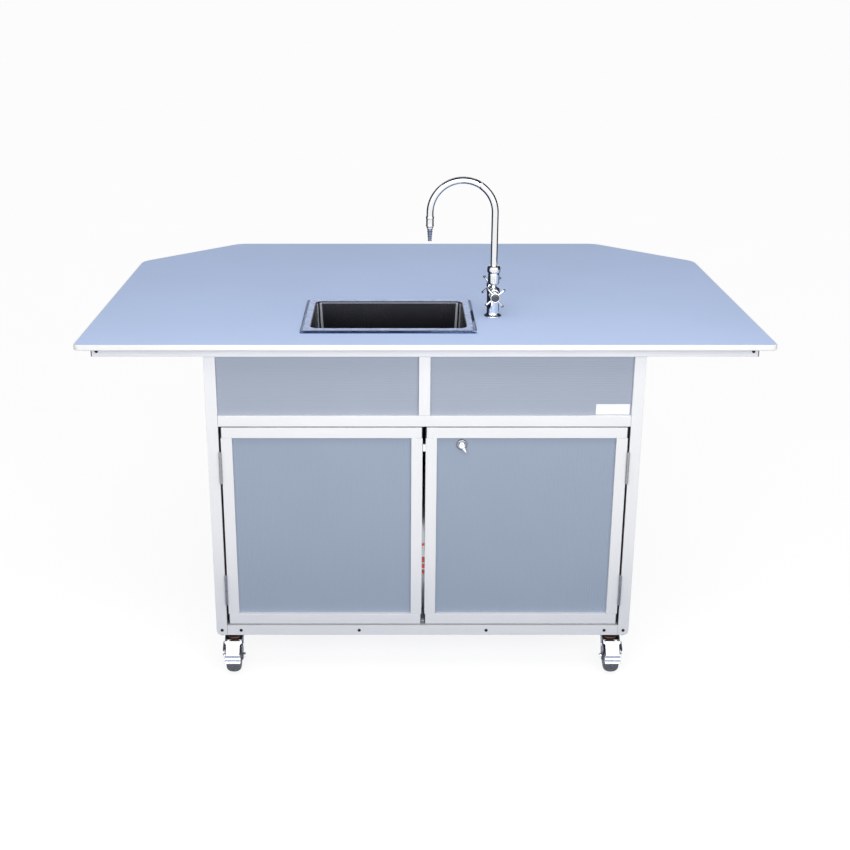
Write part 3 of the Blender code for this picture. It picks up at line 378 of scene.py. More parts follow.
def side_plane(x, y):
    """X towards the front and Y upwards, seen from the left."""
    return axes((0, -1, 0), (0, 0, 1), (-1, 0, 0), (x, y, 0))


def rounded(points, reach, steps=4, closed=False):
    """A run of points whose corners are rounded from `reach` before each one to `reach` after it."""
    points = [Vector(point) for point in points]
    count = len(points)
    made = [] if closed else [points[0]]
    for i in range(0 if closed else 1, count if closed else count - 1):
        before, here, after = points[i - 1], points[i], points[(i + 1) % count]
        into, out = before - here, after - here
        first = here + into * min(0.45, reach / into.length)
        last = here + out * min(0.45, reach / out.length)
        for step in range(steps + 1):
            t = step / steps
            made.append(first * (1 - t) ** 2 + here * 2 * t * (1 - t) + last * t * t)
    if not closed:
        made.append(points[-1])
    return made


def rounded_mm(points, reach, steps=4, closed=False):
    """A rounded run of points whose sizes are written in millimetres."""
    return rounded([(x / 1000, y / 1000) for x, y in points], reach / 1000, steps, closed)


def inset(outline, distance):
    """An anticlockwise outline moved inwards."""
    outline = [Vector(point).to_2d() for point in outline]
    moved = []
    for i, here in enumerate(outline):
        into = (here - outline[i - 1]).normalized()
        out = (outline[(i + 1) % len(outline)] - here).normalized()
        normal = Vector((-into.y, into.x))
        mitre = (normal + Vector((-out.y, out.x))).normalized()
        moved.append(here + mitre * distance / max(0.35, mitre.dot(normal)))
    return moved


def circle(centre, radius, count, start=0.0):
    return [Vector((centre[0] + radius * math.cos(start + math.tau * i / count),
                    centre[1] + radius * math.sin(start + math.tau * i / count))) for i in range(count)]


def rectangle(left, right, low, high):
    return [(left, low), (right, low), (right, high), (left, high)]


def arc(centre, radius, start, end, steps):
    return [(centre[0] + radius * math.cos(start + (end - start) * i / steps),
             centre[1] + radius * math.sin(start + (end - start) * i / steps)) for i in range(steps + 1)]


class Shape:
    """A mesh put together from a few parts, each with its own material index."""

    def __init__(self):
        self.bm = bmesh.new()

    def face(self, corners, index):
        corners = list(dict.fromkeys(corners))
        if len(corners) > 2 and self.bm.faces.get(corners) is None:
            self.bm.faces.new(corners).material_index = index

    def loft(self, rings, index=0, start_cap=True, end_cap=True, pick=None):
        """A skin over rings of points; pick(ring number, point number) may choose another material."""
        loops = []
        for points in rings:
            if isinstance(points, Vector):
                loops.append([self.bm.verts.new(points)])
            else:
                loops.append([self.bm.verts.new(point) for point in points])
        size = max(len(loop) for loop in loops)
        for number, (one, two) in enumerate(zip(loops, loops[1:])):
            for i in range(size):
                j = (i + 1) % size
                corners = [one[i % len(one)], two[i % len(two)], two[j % len(two)], one[j % len(one)]]
                self.face(corners, index if pick is None else pick(number, i))
        if start_cap and len(loops[0]) > 2:
            self.face(loops[0], index)
        if end_cap and len(loops[-1]) > 2:
            self.face(list(reversed(loops[-1])), index)
        return self

    def turned(self, profile, matrix, index=0, segments=40, closed=False, pick=None):
        """(radius, height) points turned about the matrix's Z."""
        rings = []
        for radius, height in profile:
            if radius < 1e-6:
                rings.append(matrix @ Vector((0, 0, height)))
            else:
                rings.append([matrix @ Vector((x, y, height)) for x, y in circle((0, 0), radius, segments)])
        if closed:
            rings.append(rings[0])
        before = len(self.bm.verts)
        self.loft(rings, index, not closed, not closed, pick)
        if closed:
            self.bm.verts.ensure_lookup_table()
            bmesh.ops.remove_doubles(self.bm, verts=self.bm.verts[before:], dist=1e-7)
        return self

    def tube(self, points, radius, index=0, segments=20):
        """A round bar along points; radius is one number or one for each point."""
        points = [Vector(point) for point in points]
        count = len(points)
        radii = radius if isinstance(radius, (list, tuple)) else [radius] * count
        ways = [(points[min(i + 1, count - 1)] - points[max(i - 1, 0)]).normalized() for i in range(count)]
        side = ways[0].orthogonal().normalized()
        rings = []
        for point, way, size in zip(points, ways, radii):
            side = (side - way * side.dot(way)).normalized()
            other = way.cross(side)
            rings.append([point + (side * math.cos(a) + other * math.sin(a)) * size
                          for a in (math.tau * k / segments for k in range(segments))])
        return self.loft(rings, index)

    def block(self, low, high, radius=EDGE, index=0, segments=2):
        """A box between two corners with rounded edges."""
        low, high = Vector(low), Vector(high)
        place = Matrix.Translation((low + high) / 2) @ Matrix.Diagonal((*(high - low), 1.0))
        made = bmesh.ops.create_cube(self.bm, size=1.0, matrix=place)
        edges = list({edge for vert in made["verts"] for edge in vert.link_edges})
        faces = list({face for vert in made["verts"] for face in vert.link_faces})
        for face in faces:
            face.material_index = index
        if radius:
            bmesh.ops.bevel(self.bm, geom=edges, offset=radius, segments=segments, profile=0.5,
                            affect="EDGES", material=index)
        return self

    def slab(self, outline, holes, low, high, radius, matrix=Matrix.Identity(4), index=0, side_index=None,
             steps=3):
        """A flat plate with holes and rounded edges; outlines run anticlockwise in the matrix's XY."""
        side_index = index if side_index is None else side_index
        turns = [math.pi / 2 * k / steps for k in range(steps + 1)]
        levels = [(radius * (1 - math.sin(a)), low + radius * (1 - math.cos(a))) for a in turns]
        levels += [(radius * (1 - math.cos(a)), high - radius * (1 - math.sin(a))) for a in turns]
        ends = {"low": [], "high": []}
        for number, points in enumerate([outline, *holes]):
            inwards = 1 if number == 0 else -1
            loops = []
            for distance, height in levels:
                moved = inset(points, inwards * distance)
                loops.append([self.bm.verts.new(matrix @ Vector((x, y, height))) for x, y in moved])
            for one, two in zip(loops, loops[1:]):
                for i in range(len(one)):
                    j = (i + 1) % len(one)
                    self.face([one[i], one[j], two[j], two[i]], side_index)
            ends["low"].append((inset(points, inwards * levels[0][0]), loops[0]))
            ends["high"].append((inset(points, inwards * levels[-1][0]), loops[-1]))
        for level in ends.values():
            flat = [[point.to_3d() for point in points] for points, _ in level]
            verts = [vert for _, loop in level for vert in loop]
            for triangle in geometry.tessellate_polygon(flat):
                self.face([verts[k] for k in triangle], index)
        return self

    def put(self, name, materials, body="root", replaces=(), slot=None, angle=35.0):
        """Make the object, let it ride on a body, and hide the parts it replaces; slot is not used."""
        bmesh.ops.recalc_face_normals(self.bm, faces=self.bm.faces)
        mesh = bpy.data.meshes.new(name)
        self.bm.to_mesh(mesh)
        self.bm.free()
        mesh.shade_smooth()
        mesh.set_sharp_from_angle(angle=math.radians(angle))
        for material in materials if isinstance(materials, (list, tuple)) else [materials]:
            mesh.materials.append(material)
        piece = add_object(name, mesh)
        piece.modifiers.new("flat_faces", "WEIGHTED_NORMAL").keep_sharp = True
        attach(piece, body)
        if replaces:
            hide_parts(*replaces)
        return piece


def drill(piece, centre, direction, radius, length):
    """Cut a round hole through a piece for good."""
    tool = Shape().turned([(0, -length), (radius, -length), (radius, length), (0, length)],
                          towards(centre, direction), segments=32)
    mesh = bpy.data.meshes.new("drill")
    bmesh.ops.recalc_face_normals(tool.bm, faces=tool.bm.faces)
    tool.bm.to_mesh(mesh)
    tool.bm.free()
    cutter = add_object("drill", mesh)
    modifier = piece.modifiers.new("hole", "BOOLEAN")
    modifier.operation = "DIFFERENCE"
    modifier.solver = "EXACT"
    modifier.object = cutter
    bpy.context.view_layer.update()
    graph = bpy.context.evaluated_depsgraph_get()
    piece.data = bpy.data.meshes.new_from_object(piece.evaluated_get(graph))
    piece.modifiers.clear()
    bpy.data.objects.remove(cutter, do_unlink=True)


def screw(shape, centre, direction, radius=0.0038, index=0):
    """A low button head with a socket in it."""
    socket = radius * 0.45
    place = towards(centre, direction)
    head = rounded([(radius, -0.0004), (radius, 0.0006), (radius * 0.62, 0.0015), (socket * 1.15, 0.0016)],
                   0.0004, 3)
    shape.turned([*head, (socket, 0.0014), (socket * 0.95, 0.0004), (0, 0.0004)], place, index, 24)


def hex_head(shape, centre, direction, across_flats, height, index=0, turn=0.0):
    """A hexagonal nut or bolt head with its top edge eased."""
    outline = circle((0, 0), across_flats / math.sqrt(3), 6, turn)
    shape.slab(outline, [], 0.0, height, height * 0.12, towards(centre, direction), index, steps=2)


# ------------------------------------------------------------------ worktop
def worktop_outline():
    half, front, back, clip = 0.762, -0.5425, 0.5425, 0.241
    run = [(-half, front), (half, front), (half, back - clip), (half - clip, back), (-half + clip, back)]
    right = []
    for corner, reach in ((1, 0.016), (2, 0.0249), (3, 0.0249)):
        right += rounded(run[corner - 1:corner + 2], reach, 12)[1:-1]
    return right + [Vector((-x, y)) for x, y in reversed(right)]


def build_worktop():
    cut_x, cut_y = BOWL_WIDTH / 2 + 0.010, BOWL_LENGTH / 2 + 0.010
    holes = [rectangle(SINK_X - cut_x, SINK_X + cut_x, SINK_Y - cut_y, SINK_Y + cut_y),
             circle((FAUCET_X, FAUCET_Y), 0.0125, 32)]
    slab = Shape().slab(worktop_outline(), holes, TOP_LOW, TOP_HIGH, 0.0022, index=0, side_index=1, steps=4)
    slab.put("worktop_slab", [LAMINATE, BAND], replaces=["worktop"], slot="worktop_laminate")


# ------------------------------------------------------------------ cabinet frame
def bar(name, low, high, axis, body="root", replaces=()):
    """A length of square tube, drawn along one axis."""
    Shape().block(low, high).put(name, FRAME[axis], body, replaces, "frame_aluminium")


def build_frame():
    inner_front, inner_back = FRONT + TUBE, BACK - TUBE
    end = RAIL_END - CAP
    bar("counter_rail_front", (-end, FRONT, RAILS_LOW), (end, inner_front, RAILS_HIGH), "X",
        replaces=["counter_frame"])
    bar("counter_rail_rear", (-end, inner_back, RAILS_LOW), (end, BACK, RAILS_HIGH), "X")
    caps, screws, plugs = Shape(), Shape(), Shape()
    for side_name, side in SIDES.items():
        for label, near, far in (("wing", RAIL_END - TUBE, RAIL_END), ("side", POST_INNER, SIDE)):
            low, high = sorted((side * near, side * far))
            bar(f"counter_bar_{label}_{side_name}", (low, inner_front + GAP, RAILS_LOW),
                (high, inner_back - GAP, RAILS_HIGH), "Y")
        low, high = sorted((side * end, side * RAIL_END))
        for y in (FRONT, inner_back):
            caps.block((low, y + 0.0004, RAILS_LOW + 0.0004),
                       (high, y + TUBE - 0.0004, RAILS_HIGH - 0.0004), 0.0005)
        for y, way in ((FRONT, -1), (BACK, 1)):
            screw(screws, (side * RAIL_SCREW_X, y, RAIL_SCREW_Z), (0, way, 0))
            for x in (POST_SCREW_X, CASTER_BEARER, FLOOR_BEARER):
                screw(screws, (side * x, y, BASE_MIDDLE), (0, way, 0))
        for y in (FRONT + TUBE / 2, BACK - TUBE / 2):
            for z in (BASE_MIDDLE, (MID_LOW + MID_HIGH) / 2, POST_SCREW_TOP):
                screw(plugs, (side * SIDE, y, z), (side, 0, 0), 0.0036)
        low, high = sorted((side * (SIDE - TUBE), side * SIDE))
        bar(f"base_rail_{side_name}", (low, inner_front + GAP, BASE_LOW),
            (high, inner_back - GAP, BASE_HIGH), "Y")
        for label, middle in (("caster", CASTER_BEARER), ("floor", FLOOR_BEARER)):
            bar(f"base_bearer_{label}_{side_name}", (side * middle - TUBE / 2, inner_front + GAP, BASE_LOW),
                (side * middle + TUBE / 2, inner_back - GAP, BASE_HIGH), "Y")
        for end_name, y in (("front", inner_front + GAP), ("rear", BACK - CASTER_PAD)):
            low, high = sorted((side * (CASTER_BEARER + TUBE / 2 + GAP), side * (POST_INNER - GAP)))
            bar(f"caster_pad_{end_name}_{side_name}", (low, y, BASE_LOW),
                (high, y + CASTER_PAD - TUBE - GAP, BASE_HIGH), "Y")
    caps.put("rail_end_caps", BLACK)
    screws.put("frame_screws", SCREW)
    plugs.put("side_screws", SCREW)
    reach = SIDE - TUBE - GAP
    bar("base_rail_front", (-reach, FRONT, BASE_LOW), (reach, inner_front, BASE_HIGH), "X",
        replaces=["base_frame"])
    bar("base_rail_rear", (-reach, inner_back, BASE_LOW), (reach, BACK, BASE_HIGH), "X")
    bar("mid_rail_tube", (-reach, FRONT, MID_LOW), (reach, inner_front, MID_HIGH), "X",
        replaces=["mid_rail"])
    bar("mid_post_tube", (-TUBE / 2, FRONT, MID_HIGH + GAP), (TUBE / 2, inner_front, RAILS_LOW - GAP), "Z",
        replaces=["mid_post"])
    for side_name, side in SIDES.items():
        foot = 0.011
        profile = [(POST_INNER, BASE_LOW), *arc((SIDE - foot, BASE_LOW + foot), foot, -math.pi / 2, 0.0, 8),
                   (SIDE, RAILS_LOW - GAP), (POST_INNER, RAILS_LOW - GAP)]
        if side < 0:
            profile = [(-x, z) for x, z in reversed(profile)]
        for end_name, y in (("front", FRONT), ("rear", inner_back)):
            across = at(0, y + TUBE) @ Matrix.Rotation(math.pi / 2, 4, "X")
            post = Shape().slab(profile, [], 0.0, TUBE, EDGE, across, steps=2)
            post.put(f"post_{end_name}_{side_name}", FRAME["Z"],
                     replaces=[f"corner_post_{end_name}_{side_name}"], slot="frame_aluminium")


# ------------------------------------------------------------------ ribbed panels
def fluted(name, matrix, across, along, material, body="root", replaces=()):
    """A twin-wall sheet whose outer face is the matrix's z = 0; flutes run along its Y."""
    left, right = across
    low, high = along
    count = max(1, round((right - left) / FLUTE_PITCH))
    pitch = (right - left) / count
    ridge = 0.16
    points = [(left, 0.0)]
    for number in range(count):
        start = left + number * pitch
        for share, depth in ((ridge, 0.35), (2 * ridge, 1.0), (1 - 2 * ridge, 1.0), (1 - ridge, 0.35),
                             (1.0, 0.0)):
            points.append((start + share * pitch, -FLUTE_DEPTH * depth))
    points += [(right, -PANEL_THICKNESS), (left, -PANEL_THICKNESS)]
    rings = [[matrix @ Vector((x, y, z)) for x, z in points] for y in (low, high)]
    sheet = Shape().loft(rings)
    return sheet.put(name, material, body, replaces, "panel_plastic", 50.0)


def build_panels():
    low, high = BASE_HIGH + GAP, RAILS_LOW - GAP
    front = (0, PANEL_FRONT, 0)
    for side_name, side in SIDES.items():
        ends = sorted((side * (TUBE / 2 + GAP), side * (POST_INNER - GAP)))
        fluted(f"upper_sheet_{side_name}", axes((0, 0, 1), (1, 0, 0), (0, -1, 0), front),
               (MID_HIGH + GAP, high), ends, UPPER_SHEET, replaces=[f"upper_panel_{side_name}"])
        face = (side * (SIDE - PANEL_RECESS), 0, 0)
        fluted(f"side_sheet_{side_name}", axes((0, 0, 1), (0, 1, 0), (side, 0, 0), face), (low, high),
               (FRONT + TUBE + GAP, BACK - TUBE - GAP), SIDE_SHEET, replaces=[f"side_panel_{side_name}"])
    reach = POST_INNER - GAP
    fluted("rear_sheet", axes((0, 0, 1), (1, 0, 0), (0, 1, 0), (0, BACK - PANEL_RECESS, 0)), (low, high),
           (-reach, reach), UPPER_SHEET, replaces=["rear_panel"])
    fluted("floor_sheet", axes((1, 0, 0), (0, 1, 0), (0, 0, 1), (0, 0, FLOOR_TOP)), (-reach, reach),
           (FRONT + TUBE + GAP, BACK - PANEL_RECESS - PANEL_THICKNESS - GAP), FLOOR_SHEET,
           replaces=["floor_panel"])


def build_name_plate():
    """A blank plate at the lower right of the right upper panel."""
    face = front_plane(0.4205, PANEL_FRONT, 0.6632)
    outline = rounded(rectangle(-0.0378, 0.0378, -0.0122, 0.0122), 0.0015, 3, True)
    plate = Shape().slab(outline, [], 0.0, 0.0007, 0.0002, face, 0, 1, 2)
    field = rounded(rectangle(-0.0364, 0.0364, -0.0108, 0.0108), 0.0012, 3, True)
    plate.slab(field, [], 0.0006, 0.0009, 0.0001, face, 0, 0, 1)
    plate.put("name_plate_blank", [PLATE_WHITE, PLATE_GREY])


# ------------------------------------------------------------------ doors
def build_doors():
    for side_name, side in SIDES.items():
        body = f"door_{side_name}"
        left, right = sorted((side * DOOR_INNER, side * DOOR_OUTER))
        inner = FRONT + TUBE
        for label, z in (("bottom", DOOR_LOW), ("top", DOOR_HIGH - TUBE)):
            bar(f"door_{side_name}_rail_{label}", (left + CAP, FRONT, z), (right - CAP, inner, z + TUBE),
                "X", body, [f"door_{side_name}_frame"] if label == "top" else ())
        for label, x in (("left", left), ("right", right - TUBE)):
            bar(f"door_{side_name}_stile_{label}", (x, FRONT, DOOR_LOW + TUBE + 0.0002),
                (x + TUBE, inner, DOOR_HIGH - TUBE - 0.0002), "Z", body)
        caps = Shape()
        for x in (left, right - CAP):
            for z in (DOOR_LOW, DOOR_HIGH - TUBE):
                caps.block((x, FRONT + 0.0004, z + 0.0004), (x + CAP, inner - 0.0004, z + TUBE - 0.0004),
                           0.0005)
        caps.put(f"door_{side_name}_caps", BLACK, body)
        # A black strip on the door's top edge is painted shade: it darkens the thin gap under the mid rail.
        Shape().block((left + 0.002, FRONT + 0.0012, DOOR_HIGH + 0.0001),
                      (right - 0.002, FRONT + 0.0200, DOOR_HIGH + 0.0013),
                      0.0004).put(f"door_{side_name}_shade_strip", BLACK, body)
        sheet = fluted(f"door_{side_name}_sheet", front_plane(0, PANEL_FRONT, 0),
                       (left + TUBE + GAP, right - TUBE - GAP),
                       (DOOR_LOW + TUBE + GAP, DOOR_HIGH - TUBE - GAP), DOOR_SHEET, body,
                       [f"door_{side_name}_panel"])
        if side > 0:
            drill(sheet, (LATCH_X, PANEL_FRONT, LATCH_Z), (0, 1, 0), 0.0093, 0.02)
            strike = Shape().block((-0.0026, FRONT + 0.0045, 0.5640), (0.0037, FRONT + 0.0150, 0.5810),
                                   0.0006)
            strike.put("door_right_strike", BRIGHT_ZINC, body)
    for level, height in HINGE_HEIGHTS.items():
        for side_name, side in SIDES.items():
            build_hinge(level, side_name, side, height)
    hinge_ends = [height + way * HINGE_ROOM for height in sorted(HINGE_HEIGHTS.values()) for way in (-1, 1)]
    ends = [BASE_HIGH + 0.0005, *hinge_ends, MID_LOW - 0.0009]
    for side_name, side in SIDES.items():
        gasket = Shape()
        near, far = sorted((side * (POST_INNER - 0.0002), side * (POST_INNER - 0.0014)))
        for low, high in zip(ends[::2], ends[1::2]):
            gasket.block((near, FRONT + 0.003, low), (far, FRONT + 0.023, high), 0.0004)
        gasket.put(f"door_gasket_{side_name}", BLACK)


def build_hinge(level, side_name, side, height):
    """Two leaves: each has its plate in the gap and its own knuckles on the pin."""
    half, knuckles, radius = HINGE_HALF, 5, 0.0034
    pitch = 2 * half / knuckles
    low = height - half
    for leaf_name, on_post in (("post", True), ("door", False)):
        out = side if on_post else -side
        face = side * HINGE_X + out * 0.0021
        near, far = sorted((face, face - out * 0.0012))
        leaf = Shape().block((near, FRONT + 0.0006, low), (far, FRONT + 0.0235, low + 2 * half), 0.0002)
        for number in range(knuckles):
            if (number % 2 == 0) != on_post:
                continue
            bottom = low + number * pitch + GAP / 2
            length = pitch - GAP
            knuckle = rounded([(0.0015, 0), (radius, 0), (radius, length), (0.0015, length)], 0.0005, 3)
            core = 0.0 if on_post else 0.0018
            leaf.turned([(core, 0), *knuckle, (core, length)], at(side * HINGE_X, HINGE_Y, bottom), 0, 28,
                        closed=not on_post)
            leaf.block((near, HINGE_Y + 0.0019, bottom + 0.0001),
                       (far, FRONT + 0.0010, bottom + length - 0.0001), 0)
        if on_post:
            leaf.turned([(0, 0), (0.00145, 0), (0.00145, 2 * half - 0.001), (0, 2 * half - 0.001)],
                        at(side * HINGE_X, HINGE_Y, low + 0.0005), 0, 16)
            for z, way in ((low + 2 * half - 0.0004, 1), (low + 0.0004, -1)):
                leaf.turned([(0, 0), (0.0024, 0), (0.0021, 0.0007), (0.0010, 0.0011), (0, 0.0012)],
                            towards((side * HINGE_X, HINGE_Y, z), (0, 0, way)), 0, 20)
        leaf.put(f"hinge_{level}_{side_name}_{leaf_name}", HINGE_ZINC,
                 "root" if on_post else f"door_{side_name}",
                 [f"hinge_{level}_{side_name}_{leaf_name}_leaf"], "hinge_zinc")


def build_latch():
    """A quarter-turn latch: the fixed rose and body, then the lever, its spindle and the cam."""
    face = PANEL_FRONT - GAP
    place = towards((LATCH_X, face, LATCH_Z), (0, -1, 0))
    bore = 0.0043
    rose = [(bore, 0.0033), *rounded_mm([(6.2, 3.6), (10.5, 3.2), (12.5, 1.6), (12.5, 0)], 1.2, 4),
            (0.0090, 0.0), (0.0090, -0.0145), (bore, -0.0145)]
    body = Shape().turned(rose, place, 0, 48, closed=True)
    body.put("latch_rose", LATCH_GREY, "door_right", ["latch_body"], "latch_chrome")

    lever = Shape()
    depth = face - (FRONT + TUBE + 0.0035)
    boss = rounded([(0.0040, depth), (0.0040, 0.0042), (0.0072, 0.0042), (0.0072, 0.0088), (0.0, 0.0102)],
                   0.0012, 4)
    lever.turned([(0, depth), *boss], place, 0, 40)
    lean = at(LATCH_X, face - 0.0060, LATCH_Z) @ Matrix.Rotation(-math.radians(30), 4, "Y")
    upright = lean @ Matrix.Rotation(math.pi / 2, 4, "X")
    blade = rounded_mm([(-4.4, 3), (-3.6, -9), (-2, -18.7), (0, -19.8), (2, -18.7), (3.6, -9), (4.4, 3)],
                       2.2, 4, True)
    lever.slab(blade, [], -0.0018, 0.0018, 0.0012, upright, steps=4)
    cam_front = FRONT + TUBE + 0.0010
    cam = rounded(rectangle(-0.052, 0.0070, -0.0070, 0.0070), 0.0040, 4, True)
    flat = front_plane(LATCH_X, cam_front + 0.0020, LATCH_Z)
    lever.slab(cam, [], 0.0, 0.0020, 0.0004, flat, index=1, steps=2)
    lever.put("latch_handle", [CHROME, HINGE_ZINC], "latch", ["latch_lever"], "latch_chrome")


# ------------------------------------------------------------------ basin and drain
def level_ring(width, length, radius, z, centre, steps=10):
    """A level rounded rectangle, anticlockwise from above."""
    points = []
    for quarter, (sx, sy) in enumerate(((1, 1), (-1, 1), (-1, -1), (1, -1))):
        corner = (centre[0] + sx * (width / 2 - radius), centre[1] + sy * (length / 2 - radius))
        start = quarter * math.pi / 2
        points += [Vector((x, y, z)) for x, y in arc(corner, radius, start, start + math.pi / 2, steps)]
    return points


def thickened(piece, thickness):
    """Give an open skin its wall, behind its faces."""
    wall = piece.modifiers.new("wall", "SOLIDIFY")
    wall.thickness = thickness
    wall.offset = -1
    wall.use_even_offset = True


def build_basin():
    centre, steps = (SINK_X, SINK_Y), 10
    top = TOP_HIGH + 0.0052
    rim = [  # width, corner radius, height
        (0.3970, 0.0090, TOP_HIGH + 0.0003), (0.3968, 0.0089, TOP_HIGH + 0.0014),
        (0.3950, 0.0084, TOP_HIGH + 0.0022), (0.3826, 0.0056, top - 0.0004), (0.3806, 0.0050, top),
    ]
    bowl = [
        (0.3550, 0.0200, top), (0.3515, 0.0190, top - 0.0008), (0.3494, 0.0180, top - 0.0026),
        (0.3480, 0.0170, top - 0.0060), (0.3440, 0.0190, 0.7600), (0.3400, 0.0210, 0.7000),
        (0.3370, 0.0220, 0.6860), (0.3310, 0.0240, 0.6765), (0.3210, 0.0270, 0.6700),
        (0.3060, 0.0300, 0.6670),
    ]
    rings = []
    for rows, narrower in ((rim, RIM_NARROWER), (bowl, BOWL_WIDTH - BOWL_LENGTH)):
        rings += [level_ring(width, width - narrower, radius, z, centre, steps) for width, radius,
                  z in rows]
    count = len(rings[0])
    for radius, height in ((0.0520, BOWL_LOW + 0.0002), (0.0400, BOWL_LOW - 0.0006),
                           (0.0370, BOWL_LOW - 0.0022), (0.0240, BOWL_LOW - 0.0022)):
        turn = math.pi / 4 / (steps + 1)
        rings.append([Vector((x, y, height)) for x, y in circle(centre, radius, count, turn)])

    def pick(number, i):
        if number < 5:
            return 0
        # Upright strips on each rounded corner of the bowl take the lighter steel: painted highlight.
        corner = i % (steps + 1)
        return 2 if 6 < number < 11 and (2 <= corner <= 3 or 6 <= corner <= 7) else 1

    basin = Shape().loft(rings, start_cap=False, end_cap=False, pick=pick)
    piece = basin.put("basin_pressing", [RIM_SKY_PAINTED, BOWL_SHADE_PAINTED, BOWL_PAINTED_HIGHLIGHT], replaces=["sink_basin"],
                      slot="basin_steel")
    thickened(piece, 0.0010)

    drain = Shape()
    low = BOWL_LOW - 0.0022
    tail = TANK_TOP - 0.012
    profile = rounded([(0.0205, low - 0.002), (0.0225, low + 0.0012), (0.0330, low + 0.0016),
                       (0.0350, low + 0.0004)], 0.0010, 3)
    profile += [(0.0232, low + 0.0003), (0.0228, low - 0.030), (0.0175, low - 0.036), (0.0160, tail),
                (0.0142, tail), (0.0142, low - 0.036), (0.0200, low - 0.027)]
    drain.turned(profile, at(*centre), 0, 48, closed=True)
    holes = [circle((0, 0), 0.0026, 12)]
    for number, reach in ((6, 0.0080), (12, 0.0145)):
        for k in range(number):
            angle = math.tau * k / number
            holes.append(circle((reach * math.cos(angle), reach * math.sin(angle)), 0.0022, 10))
    drain.slab(circle((0, 0), 0.0198, 48), holes, -0.0035, -0.0023, 0.0003, at(*centre, low), steps=1)
    ring = rounded([(0.0245, low - 0.004), (0.0300, low - 0.004), (0.0300, low - 0.013),
                    (0.0245, low - 0.013)], 0.001, 2)
    drain.turned(ring, at(*centre), 1, 8, closed=True)
    slip = rounded_mm([(16.5, 500), (21.5, 500), (22.5, 482), (16.5, 482)], 1, 2)
    drain.turned(slip, at(*centre), 1, 12, closed=True)
    drain.put("drain_strainer", [CHROME, PIPE], replaces=["sink_drain"])


# ------------------------------------------------------------------ tanks, pump, heater, pipes
def build_tank(name, x, neck, cap_hole, cap_material, mark):
    centre = (x, TANK_Y)
    low, top = FLOOR_TOP + GAP, TANK_TOP
    width, length = 0.260, 0.400
    rows = [(width - 0.046, length - 0.046, 0.020, low),
            (width - 0.016, length - 0.016, 0.032, low + 0.004),
            (width - 0.002, length - 0.002, 0.037, low + 0.016), (width, length, 0.038, low + 0.030)]
    for level in (0.080, 0.150):
        for shift, depth in ((0.0, 0.0), (0.005, 0.006), (0.014, 0.006), (0.019, 0.0)):
            rows.append((width - depth, length - depth, 0.038, low + level + shift))
    rows += [(width, length, 0.038, top - 0.034), (width - 0.006, length - 0.006, 0.037, top - 0.018),
             (width - 0.022, length - 0.022, 0.035, top - 0.006),
             (width - 0.050, length - 0.050, 0.028, top)]
    rings = [level_ring(*row, centre, 8) for row in rows]
    count = len(rings[0])
    turn = math.pi / 4 / 9
    for radius, height in ((0.034, top), (0.0295, top + 0.0008), (0.0280, top + 0.003),
                           (0.0280, top + 0.0148), (0.0250, top + 0.0150), (0.0250, top - 0.010)):
        rings.append([Vector((px, py, height)) for px, py in circle(neck, radius, count, turn)])
    tank = Shape().loft(rings, end_cap=False)
    piece = tank.put(f"{name}_tank_shell", TANK, replaces=[f"{name}_tank"], slot="tank_plastic")
    thickened(piece, 0.0022)

    trim = Shape()
    y = TANK_Y - length / 2
    for low_edge, high_edge in ((0.233, 0.243), (0.247, 0.258), (0.262, 0.276), (0.305, 0.312)):
        trim.slab(rounded(rectangle(-0.020, 0.020, low_edge, high_edge), 0.001, 3, True), [], 0.0, 0.0010,
                  0.0003, front_plane(mark, y + 0.0004, 0.0), steps=1)
    trim.put(f"{name}_tank_mark", cap_material)
    handle = Shape()
    bow = rounded([(x + 0.060, TANK_Y - 0.045, top - 0.001), (x + 0.060, TANK_Y - 0.045, top + 0.028),
                   (x + 0.060, TANK_Y + 0.085, top + 0.028), (x + 0.060, TANK_Y + 0.085, top - 0.001)],
                  0.020, 8)
    handle.tube(bow, 0.0075, 0, 16)
    handle.put(f"{name}_tank_handle", TANK)

    skirt = 0.0293
    over = top + 0.0150 + GAP
    ridges = []
    for k in range(36):
        for share, reach in ((0.0, skirt + 0.0040), (0.25, skirt + 0.0050), (0.6, skirt + 0.0050),
                             (0.85, skirt + 0.0040)):
            angle = math.tau * (k + share) / 36
            ridges.append((reach * math.cos(angle), reach * math.sin(angle)))
    cap = Shape().slab(ridges, [circle((0, 0), skirt, 36)], top + 0.002, over, 0.0003, at(*neck), steps=1)
    lid = rounded([(cap_hole, over - 0.0004), (skirt + 0.0036, over - 0.0004),
                   (skirt + 0.0036, over + 0.0032), (skirt - 0.0040, over + 0.0040),
                   (cap_hole, over + 0.0040)], 0.0016, 3)
    cap.turned(lid, at(*neck), 0, 48, closed=True)
    cap.put(f"{name}_tank_lid", cap_material, replaces=[f"{name}_cap"])


def compression_nut(shape, centre, direction, radius, index=0):
    """A hexagonal nut with a collar, as on a pipe's end."""
    hex_head(shape, centre, direction, 2.9 * radius, 0.010, index)
    collar = rounded([(radius * 0.9, 0.010), (radius * 1.25, 0.010), (radius * 1.25, 0.014),
                      (radius * 0.9, 0.014)], 0.0006, 2)
    shape.turned(collar, towards(centre, direction), index, 24, closed=True)


